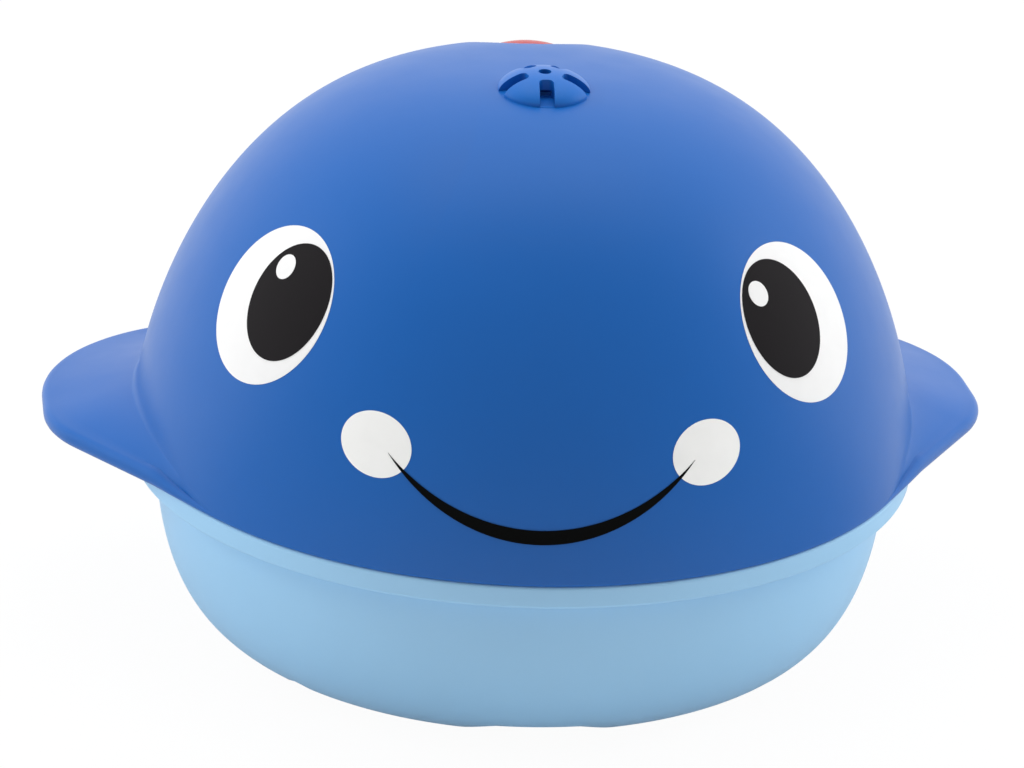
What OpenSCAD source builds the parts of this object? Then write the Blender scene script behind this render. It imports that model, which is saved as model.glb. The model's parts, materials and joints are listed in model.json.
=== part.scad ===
// Floating whale bath sprinkler: two shells hold a pump, a battery box, a spray rosette and a push button.
// Millimetres. The origin is on the body's axis in the base plane, +Z is up and the whale faces -Y.

/* [Shells] */
// Outer radius of the upper shell at the seam
shell_r = 67; // [62:0.5:74]
// Height of the dome above the seam
dome_h = 64.4; // [60:0.2:72]
// Squareness of the dome's side, where 2 is an ellipse
dome_side_power = 2.7; // [2.3:0.05:3]
// Squareness of the dome's crown, where 2 is an ellipse
dome_crown_power = 1.62; // [1.5:0.01:2]
// Wall of both shells
wall_t = 2.2; // [1.8:0.1:2.6]
// Height of the seam above the base
hull_h = 34.5; // [32:0.5:40]
// Height of the rim ledge below the seam
ledge_h = 3.25; // [2.5:0.05:4]
// How far the ledge stands out past the upper shell
ledge_proud = 0.4; // [0.2:0.1:1]
// How far the hull's wall lies inside the upper shell
hull_inset = 4.1; // [3:0.1:5]
// Radius of the flat base
base_r = 33.5; // [31:0.5:38]
// Squareness of the hull's side
hull_side_power = 4.35; // [3.5:0.05:5]
// Squareness of the hull's bottom
hull_bottom_power = 2.07; // [1.9:0.01:2.4]
// Thickness of the hull's floor
floor_t = 2.8; // [2.4:0.1:3.4]
// Half width of the water channel under the base
channel_half_w = 12.7; // [10:0.1:14]
// Depth of the water channel
channel_depth = 1.4; // [1:0.1:1.6]
// How far the channel runs past the water intake
channel_past = 8; // [4:0.5:10]
// Height of the locating lip above the seam
lip_h = 3; // [2:0.1:4]
// Thickness of the locating lip
lip_t = 2; // [1.4:0.1:2.4]

/* [Fins and tail] */
// Radius of the fin's round edge in plan
fin_r = 28; // [26:0.1:30]
// How far the fin's tip reaches past the shell
fin_reach = 15; // [12:0.1:17]
// Place along the body where the fin's straight outer edge starts
fin_y = 6.5; // [4:0.5:9]
// Length of that straight edge
fin_len = 11; // [8:0.5:14]
// Place of the fin's front root along the body
fin_front_y = -40.5; // [-43:0.5:-38]
// How far round the body both fins are turned off the middle, as in the photo
fins_off_turn = 4; // [-4:0.1:6]
// Thickness of the fin
fin_t = 3.4; // [2.8:0.1:4]
// Height of the fin's root above the seam
fin_root_h = 7; // [6:0.5:9]
// Rounding of the fin's raised root
fin_root_round = 2; // [1.5:0.1:3]
// How far the raised root starts inside the shell's radius
fin_root_inset = 5; // [4:0.5:6]
// Width of the fin's level rim round the raised root
fin_rim_w = 8; // [6:0.5:10]
// Height of the tail's root above the seam
tail_root_h = 17; // [14:0.5:20]
// How far the tail's root lies inside the shell's radius
tail_root_inset = 8; // [7:0.5:9]
// Radius of the tail's root
tail_root_r = 12; // [10:0.5:14]
// How far the tail rises from its root to the flukes
tail_rise = 9; // [6:0.5:12]
// How far the flukes' root reaches past the shell
tail_reach = 10; // [8:0.5:13]
// Radius of the tail where the flukes begin
tail_end_r = 4.5; // [4:0.1:5.5]
// Half width of the flukes
fluke_half_w = 22; // [18:0.5:26]
// Half thickness of a fluke's edge
fluke_edge_r = 2.4; // [2:0.1:3]
// How far the flukes sweep back from their root
fluke_sweep = 8; // [6:0.5:10]
// How far a fluke rises from its root
fluke_lift = 2.5; // [1:0.5:4]

/* [Spray rosette] */
// Place of the rosette along the body
rosette_y = -13; // [-15:0.5:-11]
// Radius of the rosette
rosette_r = 7.5; // [7:0.1:8.2]
// Height of the rosette's domed cap
rosette_h = 3; // [2.6:0.1:3.4]
// Wall of the rosette's cap
rosette_wall_t = 1.3; // [1:0.1:1.6]
// Number of radial slots
slot_count = 5; // [4:1:7]
// Width of a slot
slot_w = 2.4; // [1.8:0.1:2.8]
// Distance of a slot's inner end from the centre
slot_start_r = 3; // [2.7:0.1:3.4]
// Diameter of the centre hole
jet_d = 2.1; // [1.6:0.1:2.6]
// Radius of the rosette's stem
stem_r = 4; // [3.6:0.1:4.4]
// Length of the stem below the dome's top
stem_len = 11; // [10:0.5:13]
// Depth of the sloping seat under the rosette
seat_depth = 0.6; // [0.5:0.05:0.8]
// Radius of the ports that feed the slots
port_r = 0.6; // [0.4:0.1:0.7]
// Length of the hose nipples
nipple_len = 7; // [5:0.5:9]
// Height of the ring seal round the stem
ring_seal_h = 1.8; // [1.4:0.1:2.2]
// Width of that seal
ring_seal_w = 1.4; // [1.2:0.1:1.8]

/* [Push button] */
// Place of the button along the body
button_y = 25; // [23:0.5:28]
// Radius of the button
button_r = 7.5; // [7:0.1:8.5]
// Depth of the dish that the button sits in
dish_depth = 3.4; // [3:0.1:3.8]
// Radius of the dish's hollow
dish_r = 20; // [18:0.5:24]
// Radius of the button's domed top
button_dome_r = 18; // [14:0.5:22]
// Height of the button's straight side above the dish
button_side_h = 0.3; // [0:0.1:1]
// How far the button travels
button_travel = 2; // [1:0.1:2.4]
// Width of the flange that keeps the button in
flange_w = 1; // [0.8:0.1:1.4]
// Thickness of that flange
flange_t = 1.5; // [1.2:0.1:2]
// Wall of the sleeve that guides the button
sleeve_t = 1.2; // [1:0.1:1.6]
// Depth of the button's bore below the dish
guide_h = 2; // [1.5:0.1:3]
// Thickness of the button's rubber seal
button_seal_t = 1.2; // [1:0.1:1.6]
// Radius of the button's stem
push_stem_r = 2; // [1.7:0.1:2.4]
// How much slimmer the switch's plunger is than the stem
plunger_step = 0.3; // [0.2:0.05:0.5]
// Spare room past the end of the button's travel
travel_spare = 0.7; // [0.5:0.1:1]
// Width of the switch
switch_w = 8; // [7:0.5:10]
// Height of the switch
switch_h = 4; // [3.5:0.1:5]
// Length of the circuit board
board_len = 38; // [36:1:44]
// Width of the circuit board
board_w = 22; // [20:1:26]
// Thickness of the circuit board
board_t = 1.6; // [1.2:0.1:2]
// Distance of a board screw from the button's axis
board_screw_x = 15; // [14.5:0.1:16]
// Radius of the sounder
sounder_r = 6; // [5:0.1:8]
// Height of the sounder
sounder_h = 2.5; // [2:0.1:3.5]

/* [Pump and motor] */
// Place of the pump along the body
pump_y = -33; // [-35:0.5:-31]
// Radius of the water intake in the floor
intake_r = 7.5; // [6:0.1:8]
// Thickness of the strainer
strainer_t = 1.2; // [1:0.1:1.6]
// Width of the strainer's rim round the intake
strainer_rim_w = 2; // [1.5:0.1:2.5]
// Width of a strainer's slot and of the bar beside it
strainer_slot_w = 1.4; // [1.2:0.1:1.6]
// Outer radius of the pump
pump_r = 12; // [11.5:0.1:12.4]
// Wall of the pump
pump_wall_t = 1.5; // [1.2:0.1:1.8]
// Height of the pump's chamber
chamber_h = 8; // [7:0.5:10]
// Radius of the pump's inlet
inlet_r = 4; // [3:0.1:5]
// Thickness of the pump's two screw ears
pump_ear_t = 2; // [1.6:0.1:2.6]
// Room round the impeller
blade_room = 1; // [0.8:0.1:1.4]
// Thickness of the impeller's back plate
blade_plate_t = 1; // [0.8:0.1:1.2]
// Wall of the pump's outlet pipe
outlet_wall_t = 1.7; // [1.5:0.1:2]
// Number of impeller blades
blade_count = 6; // [4:1:8]
// Thickness of an impeller blade
blade_t = 1.2; // [1:0.1:1.6]
// Radius of the impeller's hub
hub_r = 3; // [2.4:0.1:3.4]
// Radius of the motor's can
motor_r = 10; // [9.5:0.1:10.3]
// Length of the motor's can
motor_len = 25; // [22:0.5:28]
// Height of the motor's plastic end cap
endcap_h = 2; // [1.5:0.1:3]
// How much smaller the end cap is than the can
endcap_step = 0.6; // [0.4:0.1:1]
// Depth of the collar that holds the motor
collar_h = 6; // [4:0.5:8]
// Radius of the motor's shaft
shaft_r = 1; // [0.9:0.05:1.2]
// How far the shaft reaches into the motor
shaft_in_motor = 9; // [7:0.5:12]
// Radius of the shaft seal
shaft_seal_r = 2.6; // [2.3:0.1:3]
// Inner radius of the riser hose
hose_in_r = 2.6; // [2.4:0.1:2.8]
// Wall of the riser hose
hose_wall_t = 1.4; // [1:0.1:1.6]
// Bore of the nipples and the outlet
water_bore_r = 1.6; // [1.3:0.1:1.8]

/* [Batteries] */
// Place of the battery box along the body
box_y = 19.5; // [18.5:0.5:20.5]
// Number of cells side by side
cell_count = 3; // [2:1:3]
// Diameter of a cell
cell_d = 10.5; // [10:0.1:10.7]
// Length of a cell with its nipple
cell_len = 44.5; // [43:0.1:45.5]
// Diameter of a cell's nipple
nipple_d = 3.8; // [3:0.1:5]
// Height of a cell's nipple
nipple_h = 1.2; // [0.8:0.1:1.6]
// Room between neighbouring cells
cell_gap = 0.4; // [0.2:0.1:0.6]
// Length of a contact spring
spring_len = 3.5; // [3:0.1:4.5]
// Thickness of a contact plate
contact_t = 0.5; // [0.4:0.1:0.8]
// Wall of the battery box
box_wall_t = 1.5; // [1.2:0.1:2]
// Thickness of the battery door
door_t = 2.5; // [2.2:0.1:2.8]
// Thickness of the door's gasket
door_seal_t = 0.6; // [0.4:0.1:0.8]
// Width of the ledge that the gasket seats on
door_seat_w = 3; // [2.5:0.1:3.2]
// Thickness of that ledge
door_seat_t = 1.2; // [1:0.1:1.6]
// Width of the wall outside that ledge
door_frame_w = 2.5; // [2:0.1:3]
// How far the gasket's edge lies inside the door's
seal_inset = 0.6; // [0.4:0.1:0.8]
// Floor left under the door screw's head
door_screw_floor_t = 1; // [0.8:0.1:1.2]
// Radius of the door's screw ear
ear_r = 4.5; // [4:0.1:5]
// How much smaller a contact spring's wide end is than its cell, in radius
spring_step = 1.2; // [0.8:0.1:1.6]
// How much a contact spring narrows towards its cell
spring_taper = 1.6; // [1:0.1:2]
// Thickness of a contact spring
spring_t = 0.6; // [0.4:0.1:0.8]
// Distance of the door screw behind the battery box
door_screw_gap = 6.5; // [6:0.1:7]

/* [Fasteners and leads] */
// Distance of the shell screws inside the shell's radius
screw_inset = 14.7; // [14:0.1:16]
// Radius of the large screws
screw_r = 1.5; // [1.3:0.05:1.6]
// Radius of a large screw's head
screw_head_r = 2.8; // [2.4:0.1:3]
// Height of a large screw's head
screw_head_h = 1.4; // [1:0.1:1.8]
// Length of a shell screw
shell_screw_len = 20; // [16:0.5:24]
// Radius of the shell screws' posts
post_r = 4.5; // [4.2:0.1:5]
// Wall round a small screw in its post
post_wall_t = 2; // [1.6:0.1:2.4]
// Radius of the small screws
small_screw_r = 1; // [0.8:0.05:1.2]
// Length of a small screw
small_screw_len = 8; // [6:0.5:10]
// Radius of a lead
lead_r = 0.8; // [0.6:0.05:1]
// Distance of the motor's leads from the middle
motor_lead_x = 7; // [6:0.5:8]
// How far the motor's leads rise straight up
motor_lead_h = 11; // [9:0.5:13]
// How far the battery leads rise straight up
battery_lead_h = 29; // [26:1:32]
// How far a lead runs square to the board before it ends there
lead_end = 9; // [8:0.5:10]
// Distance of a lead's end from the board's edges
lead_edge = 2; // [1.5:0.5:3]
// Thickness of the shell gasket in plan
gasket_w = 1.2; // [1:0.1:1.4]
// Height of the shell gasket
gasket_h = 1.2; // [1:0.1:1.6]

/* [Face] */
// Thickness of the printed colour
print_t = 0.25; // [0.2:0.05:0.4]
// How far round the body both eyes are printed off the middle, as in the photo
eyes_off_turn = -3; // [-4:0.1:4]
// How far round the body the cheeks and the smile are printed off the middle
mouth_off_turn = -1.8; // [-4:0.1:4]
// Angle of an eye from the middle of the face
eye_turn = 47.7; // [44:0.1:50]
// Distance of an eye's centre inside the shell's radius
eye_inset = 10.4; // [9:0.1:12]
// Half width and half height of the eye's white
eye_half = [12.1, 13.2]; // [11:0.1:14]
// Half width and half height of the pupil
pupil_half = [8, 9.8]; // [7:0.1:10.5]
// Place of the pupil in the eye, outwards and up
pupil_at = [-3.4, 1.3]; // [-4:0.1:4]
// Half width and half height of the glint
glint_half = [1.9, 2.1]; // [1.5:0.1:2.5]
// Place of the glint in the pupil, towards the whale's right and up
glint_at = [3.4, 4.9]; // [-6:0.1:6]
// Distance of a cheek's centre from the middle
cheek_x = 25.5; // [23:0.1:28]
// Height of a cheek's centre above the seam
cheek_h = 19.4; // [18:0.1:22]
// Half width and half height of a cheek
cheek_half = [5.4, 4.8]; // [4:0.1:6.5]
// Half width of the smile
smile_half_w = 23.7; // [20:0.1:26]
// Height of the smile's ends above the seam
smile_end_h = 18.6; // [17:0.1:20]
// Height of the smile's lowest point above the seam
smile_low_h = 6.9; // [6:0.1:8]
// Thickness of the smile in the middle
smile_t = 2.2; // [1.6:0.1:3]
// How much of the smile's sharp ends is left off
smile_blunt = 0.5; // [0.3:0.1:1]

/* [Clearances] */
// Radial room of a turning or sliding fit
run_clear = 0.05; // [0.03:0.01:0.08]
// Radial room of a fixed fit
fit_clear = 0.1; // [0.05:0.01:0.15]
// Room between pieces that pass each other
pass_clear = 0.3; // [0.25:0.05:0.5]

/* [Hidden] */
$fn = 64;
eps = 0.01;
over = 1;
profile_steps = 26;
hull_fn = 32;
edge_fn = 16;
lead_sides = 8;
cap_steps = 8;

// Shell profiles and their places
seam_z = hull_h;
crown_z = hull_h + dome_h;
ledge_r = shell_r + ledge_proud;
hull_top_r = shell_r - hull_inset;
hull_top_z = hull_h - ledge_h;
lip_r = shell_r - wall_t - pass_clear;
gasket_r = shell_r - wall_t / 2;
post_turns = [45, 135, 225, 315];
post_axis_r = shell_r - screw_inset;
screw_seat_z = seam_z - shell_screw_len / 2;
profile_angles = [for (i = [0:profile_steps]) 90 * i / profile_steps];
fin_x = shell_r + fin_reach - fin_r;
tail_root_y = shell_r - tail_root_inset;
tail_end_y = shell_r + tail_reach;
tail_end_h = tail_root_h + tail_rise;
fluke_points = [[fluke_half_w - fluke_edge_r, fluke_sweep - fluke_edge_r], [fluke_half_w / 3, fluke_sweep]];

// Rosette and hose levels
rosette_z = seam_z + dome_z(-rosette_y);
rosette_dome_r = (rosette_r * rosette_r + rosette_h * rosette_h) / (2 * rosette_h);
stem_end_z = crown_z - stem_len;
nipple_r = hose_in_r - fit_clear;
hose_r = hose_in_r + hose_wall_t;
socket_r = stem_r + fit_clear + wall_t;
port_z = rosette_h / 4;

// Button levels, measured along its axis from the dome's surface
button_tilt = dome_slope(button_y);
dish_edge = -dish_depth + dish_r - sqrt(dish_r * dish_r - button_r * button_r);
button_top = dish_edge + button_side_h;
flange_r = button_r + flange_w;
sleeve_r = flange_r + pass_clear + sleeve_t;
flange_top = -dish_depth - wall_t - guide_h;
flange_low = flange_top - flange_t;
sleeve_low = flange_low - button_travel - travel_spare;
push_stem_low = sleeve_low - button_seal_t - button_travel - travel_spare;
switch_top = push_stem_low - button_travel - travel_spare;
board_top = switch_top - switch_h;
board_low = board_top - board_t;
plunger_r = push_stem_r - plunger_step;
plunger_low = board_top + button_travel + travel_spare;
small_post_r = small_screw_r + post_wall_t;

// Pump levels from the floor up
strainer_r = intake_r + strainer_rim_w;
cover_z = floor_t + strainer_t;
chamber_z = cover_z + pump_wall_t;
chamber_top_z = chamber_z + chamber_h;
motor_z = chamber_top_z + pump_wall_t;
motor_top_z = motor_z + motor_len;
pump_bore_r = pump_r - pump_wall_t;
blade_r = pump_bore_r - blade_room;
blade_z = chamber_z + blade_room;
blade_h = chamber_h - 2 * blade_room;
outlet_z = chamber_z + chamber_h / 2;
outlet_r = water_bore_r + outlet_wall_t;
hose_z = outlet_z + outlet_r + pump_wall_t;
pump_ear_x = pump_r + post_r + pass_clear;

// Battery box levels
cell_pitch = cell_d + cell_gap;
box_half_x = (cell_len + spring_len + 2 * contact_t) / 2;
box_half_y = cell_count * cell_pitch / 2;
door_z = fit_clear;
door_top_z = door_z + door_t;
door_seat_z = door_top_z + door_seal_t;
door_half_x = box_half_x + door_seat_w;
door_half_y = box_half_y + door_seat_w;
door_screw_y = box_y + box_half_y + door_screw_gap;
cell_z = door_top_z + pass_clear + cell_d / 2;
box_in_z = cell_z + cell_d / 2 + cell_gap;
box_top_z = box_in_z + box_wall_t;
contact_low_z = door_seat_z + door_seat_t;
contact_high_z = box_in_z - cell_gap;
door_boss_top_z = door_seat_z + small_screw_len;
channel_r = (channel_half_w * channel_half_w + channel_depth * channel_depth) / (2 * channel_depth);
channel_end_y = pump_y + intake_r + channel_past;

// Eye and smile places
eye_axis_r = shell_r - eye_inset;
smile_low_r = arc_r(smile_half_w, smile_end_h - smile_low_h);
smile_top_r = arc_r(smile_half_w, smile_end_h - smile_low_h - smile_t);

// Lead routes, from the motor and the battery box to the circuit board
battery_lead_x = box_half_x - contact_t / 2;
motor_lead = concat(
    [for (up = [0, motor_lead_h]) [motor_lead_x, pump_y, motor_top_z + endcap_h + up]],
    [for (down = [lead_end, 0]) at_board(motor_lead_x, lead_edge - board_w / 2, -down)]);
battery_lead = concat(
    [for (up = [0, battery_lead_h]) [battery_lead_x, box_y, contact_high_z + up]],
    [for (down = [lead_end, 0]) at_board(board_len / 2 - lead_edge, 2 * lead_edge, -down)]);

dome_blue = [0.11, 0.34, 0.63];
hull_blue = [0.62, 0.77, 0.87];
rubber_grey = [0.2, 0.2, 0.22];
steel = [0.7, 0.71, 0.73];
brass = [0.75, 0.62, 0.32];

// Radius of an arc with this half chord and rise
function arc_r(half_w, rise) = (half_w * half_w + rise * rise) / (2 * rise);

// Point of the dome's profile, where a is 0 at the seam and 90 at the crown
function dome_point(r, h, a) =
    [r * pow(cos(a), 2 / dome_side_power), h * pow(sin(a), 2 / dome_crown_power)];

// Height of the dome above the seam at this distance from its axis
function dome_z(r) = dome_h * pow(1 - pow(r / shell_r, dome_side_power), 1 / dome_crown_power);

// Slope of the dome at this distance from its axis, in degrees
function dome_slope(r) = atan(
    dome_h / dome_crown_power * pow(1 - pow(r / shell_r, dome_side_power), 1 / dome_crown_power - 1)
    * dome_side_power * pow(r / shell_r, dome_side_power - 1) / shell_r);

// Point of the hull's profile, where a is 0 under the ledge and 90 at the base
function hull_point(low_r, top_r, low_z, a) = [
    low_r + (top_r - low_r) * pow(cos(a), 2 / hull_side_power),
    low_z + (hull_top_z - low_z) * (1 - pow(sin(a), 2 / hull_bottom_power))];

// Place on the circuit board's lower face, in the part's frame
function at_board(x, y, down) =
    let (z = board_low + down, t = button_tilt)
    [x, button_y + y * cos(t) + z * sin(t), seam_z + dome_z(button_y) - y * sin(t) + z * cos(t)];

// Solid dome with its outside moved out by grow, reaching below the seam by under
module dome_solid(grow, under) {
    translate([0, 0, seam_z]) rotate_extrude() polygon(concat(
        [[0, -under], [shell_r + grow, -under]],
        under > 0 ? [[shell_r + grow, 0]] : [],
        [for (i = [1:profile_steps]) dome_point(shell_r + grow, dome_h + grow, profile_angles[i])]));
}

// Thin layer on the dome for the printed face
module dome_skin() {
    outer = [for (a = profile_angles) dome_point(shell_r + print_t, dome_h + print_t, a)];
    inner = [for (i = [0:profile_steps])
        dome_point(shell_r, dome_h, profile_angles[profile_steps - i])];
    translate([0, 0, seam_z]) rotate_extrude() polygon(concat(outer, inner));
}

// Solid hull below the ledge, drawn in by inset with its bottom at low_z
module hull_solid(inset, low_z) {
    rotate_extrude() polygon(concat(
        [[0, hull_top_z + eps], [hull_top_r - inset, hull_top_z + eps]],
        [for (a = profile_angles) hull_point(base_r - inset, hull_top_r - inset, low_z, a)],
        [[0, low_z]]));
}

// Children placed on the button's axis, with z along it and z = 0 on the dome
module on_button_axis() {
    translate([0, button_y, seam_z + dome_z(button_y)]) rotate([-button_tilt, 0, 0]) children();
}

// Tube along z
module tube(out_r, in_r, h) {
    difference() {
        cylinder(r = out_r, h = h);
        translate([0, 0, -over]) cylinder(r = in_r, h = h + 2 * over);
    }
}

// Screw with its head below z = 0 and its shank up to len
module screw_up(r, head_r, head_h, len) {
    cylinder(r = r, h = len);
    translate([0, 0, -head_h]) cylinder(r = head_r, h = head_h);
}

// Places of the four shell screws
module at_posts() {
    for (turn = post_turns) rotate(turn) translate([post_axis_r, 0, 0]) children();
}

// Direction of a lead at one of its points
function lead_dir(points, i) =
    let (step = points[min(i + 1, len(points) - 1)] - points[max(i - 1, 0)]) step / norm(step);

// Ring of corners round a lead at one of its points
function lead_ring(points, i) =
    let (d = lead_dir(points, i), n = cross(d, [1, 0, 0]), u = n / norm(n), v = cross(d, u))
    [for (k = [0:lead_sides - 1])
        points[i] + lead_r * (cos(360 * k / lead_sides) * u + sin(360 * k / lead_sides) * v)];

// Round lead swept through a list of points, with flat ends
module lead(points) {
    rings = len(points);
    corners = [for (i = [0:rings - 1]) each lead_ring(points, i)];
    sides = [for (i = [0:rings - 2]) for (k = [0:lead_sides - 1])
        let (a = i * lead_sides + k, b = i * lead_sides + (k + 1) % lead_sides)
        each [[a, b, a + lead_sides], [b, b + lead_sides, a + lead_sides]]];
    first = [for (k = [1:lead_sides - 2]) [0, k + 1, k]];
    last = [for (k = [1:lead_sides - 2]) [0, k, k + 1] + (rings - 1) * lead_sides * [1, 1, 1]];
    polyhedron(points = corners, faces = concat(sides, first, last));
}

// One fin on the +X side: a round plate and the raised root that runs up the dome
module fin() {
    hull() {
        for (y = [fin_y, fin_y + fin_len])
            translate([fin_x, y, fin_t / 2]) rotate_extrude($fn = 72)
                translate([fin_r - fin_t / 2, 0]) circle(d = fin_t, $fn = 12);
        translate([sqrt(shell_r * shell_r - fin_front_y * fin_front_y), fin_front_y, fin_t / 2])
            sphere(d = fin_t, $fn = edge_fn);
    }
    hull() {
        for (y = [fin_y, fin_y + fin_len])
            translate([fin_x, y, 0]) cylinder(r = fin_r - fin_rim_w, h = fin_t, $fn = hull_fn);
        for (y = [fin_front_y / 2, fin_y + fin_len])
            translate([shell_r - fin_root_inset, y, fin_root_h - fin_root_round])
                sphere(r = fin_root_round, $fn = edge_fn);
    }
}

// Small raised tail with a two-lobed fluke
module tail() {
    hull() {
        translate([0, tail_root_y, tail_root_h]) sphere(r = tail_root_r, $fn = hull_fn);
        translate([0, tail_end_y, tail_end_h]) sphere(r = tail_end_r, $fn = hull_fn);
    }
    for (side = [-1, 1]) hull() {
        translate([0, tail_end_y, tail_end_h]) sphere(r = tail_end_r - pass_clear, $fn = hull_fn);
        for (at = fluke_points) translate([side * at[0], tail_end_y + at[1], tail_end_h + fluke_lift])
            sphere(r = fluke_edge_r, $fn = edge_fn);
    }
}

module upper_shell_body() {
    difference() {
        union() {
            dome_solid(0, 0);
            translate([0, 0, seam_z]) {
                rotate(fins_off_turn) for (side = [0, 1]) mirror([side, 0, 0]) fin();
                tail();
            }
        }
        dome_solid(-wall_t, over);
    }
    intersection() {
        dome_solid(-wall_t / 2, 0);
        union() {
            at_posts() translate([0, 0, seam_z]) cylinder(r = post_r - fit_clear, h = dome_h);
            translate([0, rosette_y, stem_end_z]) cylinder(r = socket_r, h = stem_len);
            on_button_axis() {
                translate([0, 0, sleeve_low]) cylinder(r = sleeve_r, h = -sleeve_low);
                for (side = [-1, 1]) translate([side * board_screw_x, 0, board_top])
                    cylinder(r = small_post_r, h = -board_top);
            }
        }
    }
}

module upper_shell() {
    color(dome_blue) difference() {
        upper_shell_body();
        at_posts() translate([0, 0, seam_z - over])
            cylinder(r = screw_r + run_clear, h = shell_screw_len / 2 + 2 * over);
        translate([0, rosette_y, stem_end_z - over])
            cylinder(r = stem_r + fit_clear, h = stem_len + 2 * over);
        on_rosette_axis() translate([0, 0, -seat_depth]) cylinder(r = rosette_r + fit_clear, h = stem_len);
        translate([0, rosette_y, stem_end_z - over])
            cylinder(r = stem_r + ring_seal_w + fit_clear, h = ring_seal_h + over);
        on_button_axis() {
            translate([0, 0, dish_r - dish_depth]) sphere(r = dish_r);
            translate([0, 0, flange_low]) cylinder(r = button_r + run_clear, h = -2 * flange_low);
            translate([0, 0, sleeve_low - over])
                cylinder(r = flange_r + pass_clear, h = flange_top + pass_clear - sleeve_low + over);
            for (side = [-1, 1]) translate([side * board_screw_x, 0, board_top - over])
                cylinder(r = small_screw_r + run_clear, h = small_screw_len + over);
        }
    }
}

module battery_opening(half_x, half_y, z, h) {
    translate([-half_x, box_y - half_y, z]) cube([2 * half_x, 2 * half_y, h]);
}

// Plan of the battery door with its screw ear, grown by room
module door_plan(room) {
    translate([-door_half_x - room, box_y - door_half_y - room])
        square([2 * (door_half_x + room), 2 * (door_half_y + room)]);
    translate([0, door_screw_y]) circle(r = ear_r + room);
    translate([-ear_r - room, box_y]) square([2 * (ear_r + room), door_screw_y - box_y]);
}

module lower_shell_body() {
    difference() {
        hull_solid(0, 0);
        hull_solid(wall_t, floor_t);
    }
    translate([0, 0, hull_top_z]) tube(ledge_r, hull_top_r - wall_t, ledge_h);
    translate([0, 0, hull_top_z]) tube(lip_r, lip_r - lip_t, ledge_h + lip_h);
    intersection() {
        hull_solid(wall_t / 2, 0);
        union() {
            at_posts() cylinder(r = post_r, h = hull_h);
            linear_extrude(door_seat_z + door_seat_t) door_plan(door_frame_w);
            battery_opening(box_half_x + box_wall_t, box_half_y + box_wall_t, 0, box_top_z);
            translate([0, door_screw_y, 0]) cylinder(r = post_r, h = door_boss_top_z);
            for (side = [-1, 1]) translate([side * pump_ear_x, pump_y, 0])
                cylinder(r = post_r, h = chamber_z);
        }
    }
    at_posts() translate([0, 0, hull_top_z - over]) cylinder(r = post_r, h = ledge_h + over - pass_clear);
}

module lower_shell() {
    color(hull_blue) difference() {
        lower_shell_body();
        translate([0, 0, seam_z - gasket_h])
            tube(gasket_r + gasket_w / 2, gasket_r - gasket_w / 2, gasket_h + over);
        at_posts() {
            translate([0, 0, -over]) cylinder(r = screw_r + run_clear, h = hull_h + lip_h);
            translate([0, 0, -over]) cylinder(r = screw_head_r + pass_clear, h = screw_seat_z + over);
        }
        translate([0, 0, -over]) linear_extrude(door_seat_z + over) door_plan(pass_clear);
        battery_opening(box_half_x, box_half_y, 0, box_in_z);
        translate([0, door_screw_y, 0]) cylinder(r = screw_r + run_clear, h = door_boss_top_z - box_wall_t);
        for (side = [-1, 1]) {
            translate([side * battery_lead_x, box_y, contact_high_z])
                cylinder(r = lead_r + run_clear, h = box_top_z);
            translate([side * pump_ear_x, pump_y, floor_t - pass_clear])
                cylinder(r = screw_r + run_clear, h = chamber_z);
        }
        translate([0, pump_y, -over]) cylinder(r = intake_r, h = floor_t + 2 * over);
        translate([0, pump_y, floor_t]) cylinder(r = strainer_r + fit_clear, h = strainer_t);
        translate([0, pump_y, cover_z]) cylinder(r = pump_r + fit_clear, h = pump_wall_t);
        translate([0, channel_end_y, channel_depth - channel_r]) rotate([90, 0, 0])
            cylinder(r = channel_r, h = shell_r, $fn = 180);
    }
}

module shell_gasket() {
    color(rubber_grey) translate([0, 0, seam_z - gasket_h])
        tube(gasket_r + gasket_w / 2 - eps, gasket_r - gasket_w / 2 + eps, gasket_h);
}

module shell_screws() {
    color(steel) at_posts() translate([0, 0, screw_seat_z])
        screw_up(screw_r, screw_head_r, screw_head_h, shell_screw_len);
}

// Point of a cap's profile on a sphere about the rosette's dome centre, at this distance from the axis
function cap_point(r, out) = [out, rosette_h - rosette_dome_r + sqrt(r * r - out * out)];

// Rosette's cap, skirt and core turned from their half profile
module rosette_turned() {
    in_r = rosette_dome_r - rosette_wall_t;
    in_base_r = rosette_r - rosette_wall_t;
    steps = [0:cap_steps];
    rotate_extrude() polygon(concat(
        [[water_bore_r, -rosette_h], [stem_r, -rosette_h]],
        [for (i = steps) cap_point(in_r, stem_r + (in_base_r - stem_r) * i / cap_steps)],
        [[in_base_r, -rosette_h], [rosette_r, -rosette_h]],
        [for (i = steps) cap_point(rosette_dome_r, rosette_r + (jet_d / 2 - rosette_r) * i / cap_steps)],
        [[jet_d / 2, rosette_h / 2], [water_bore_r, rosette_h / 2]]));
}

// Rosette with its radial slots and the water ports that feed them
module rosette_slotted() {
    difference() {
        rosette_turned();
        for (i = [0:slot_count - 1]) rotate(-90 + 360 * i / slot_count) {
            translate([slot_start_r, -slot_w / 2, -2 * rosette_h]) cube([rosette_r, slot_w, 4 * rosette_h]);
            translate([water_bore_r / 2, 0, port_z]) rotate([0, 90, 0])
                cylinder(r = port_r, h = slot_start_r);
        }
    }
}

// Frame square to the dome at the rosette's place
module on_rosette_axis() {
    translate([0, rosette_y, rosette_z]) rotate([dome_slope(-rosette_y), 0, 0]) children();
}

// Space above the sloping seat that the rosette's skirt stands on
module above_rosette_seat() {
    on_rosette_axis() translate([-2 * rosette_r, -2 * rosette_r, -seat_depth]) cube(4 * rosette_r);
}

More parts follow.
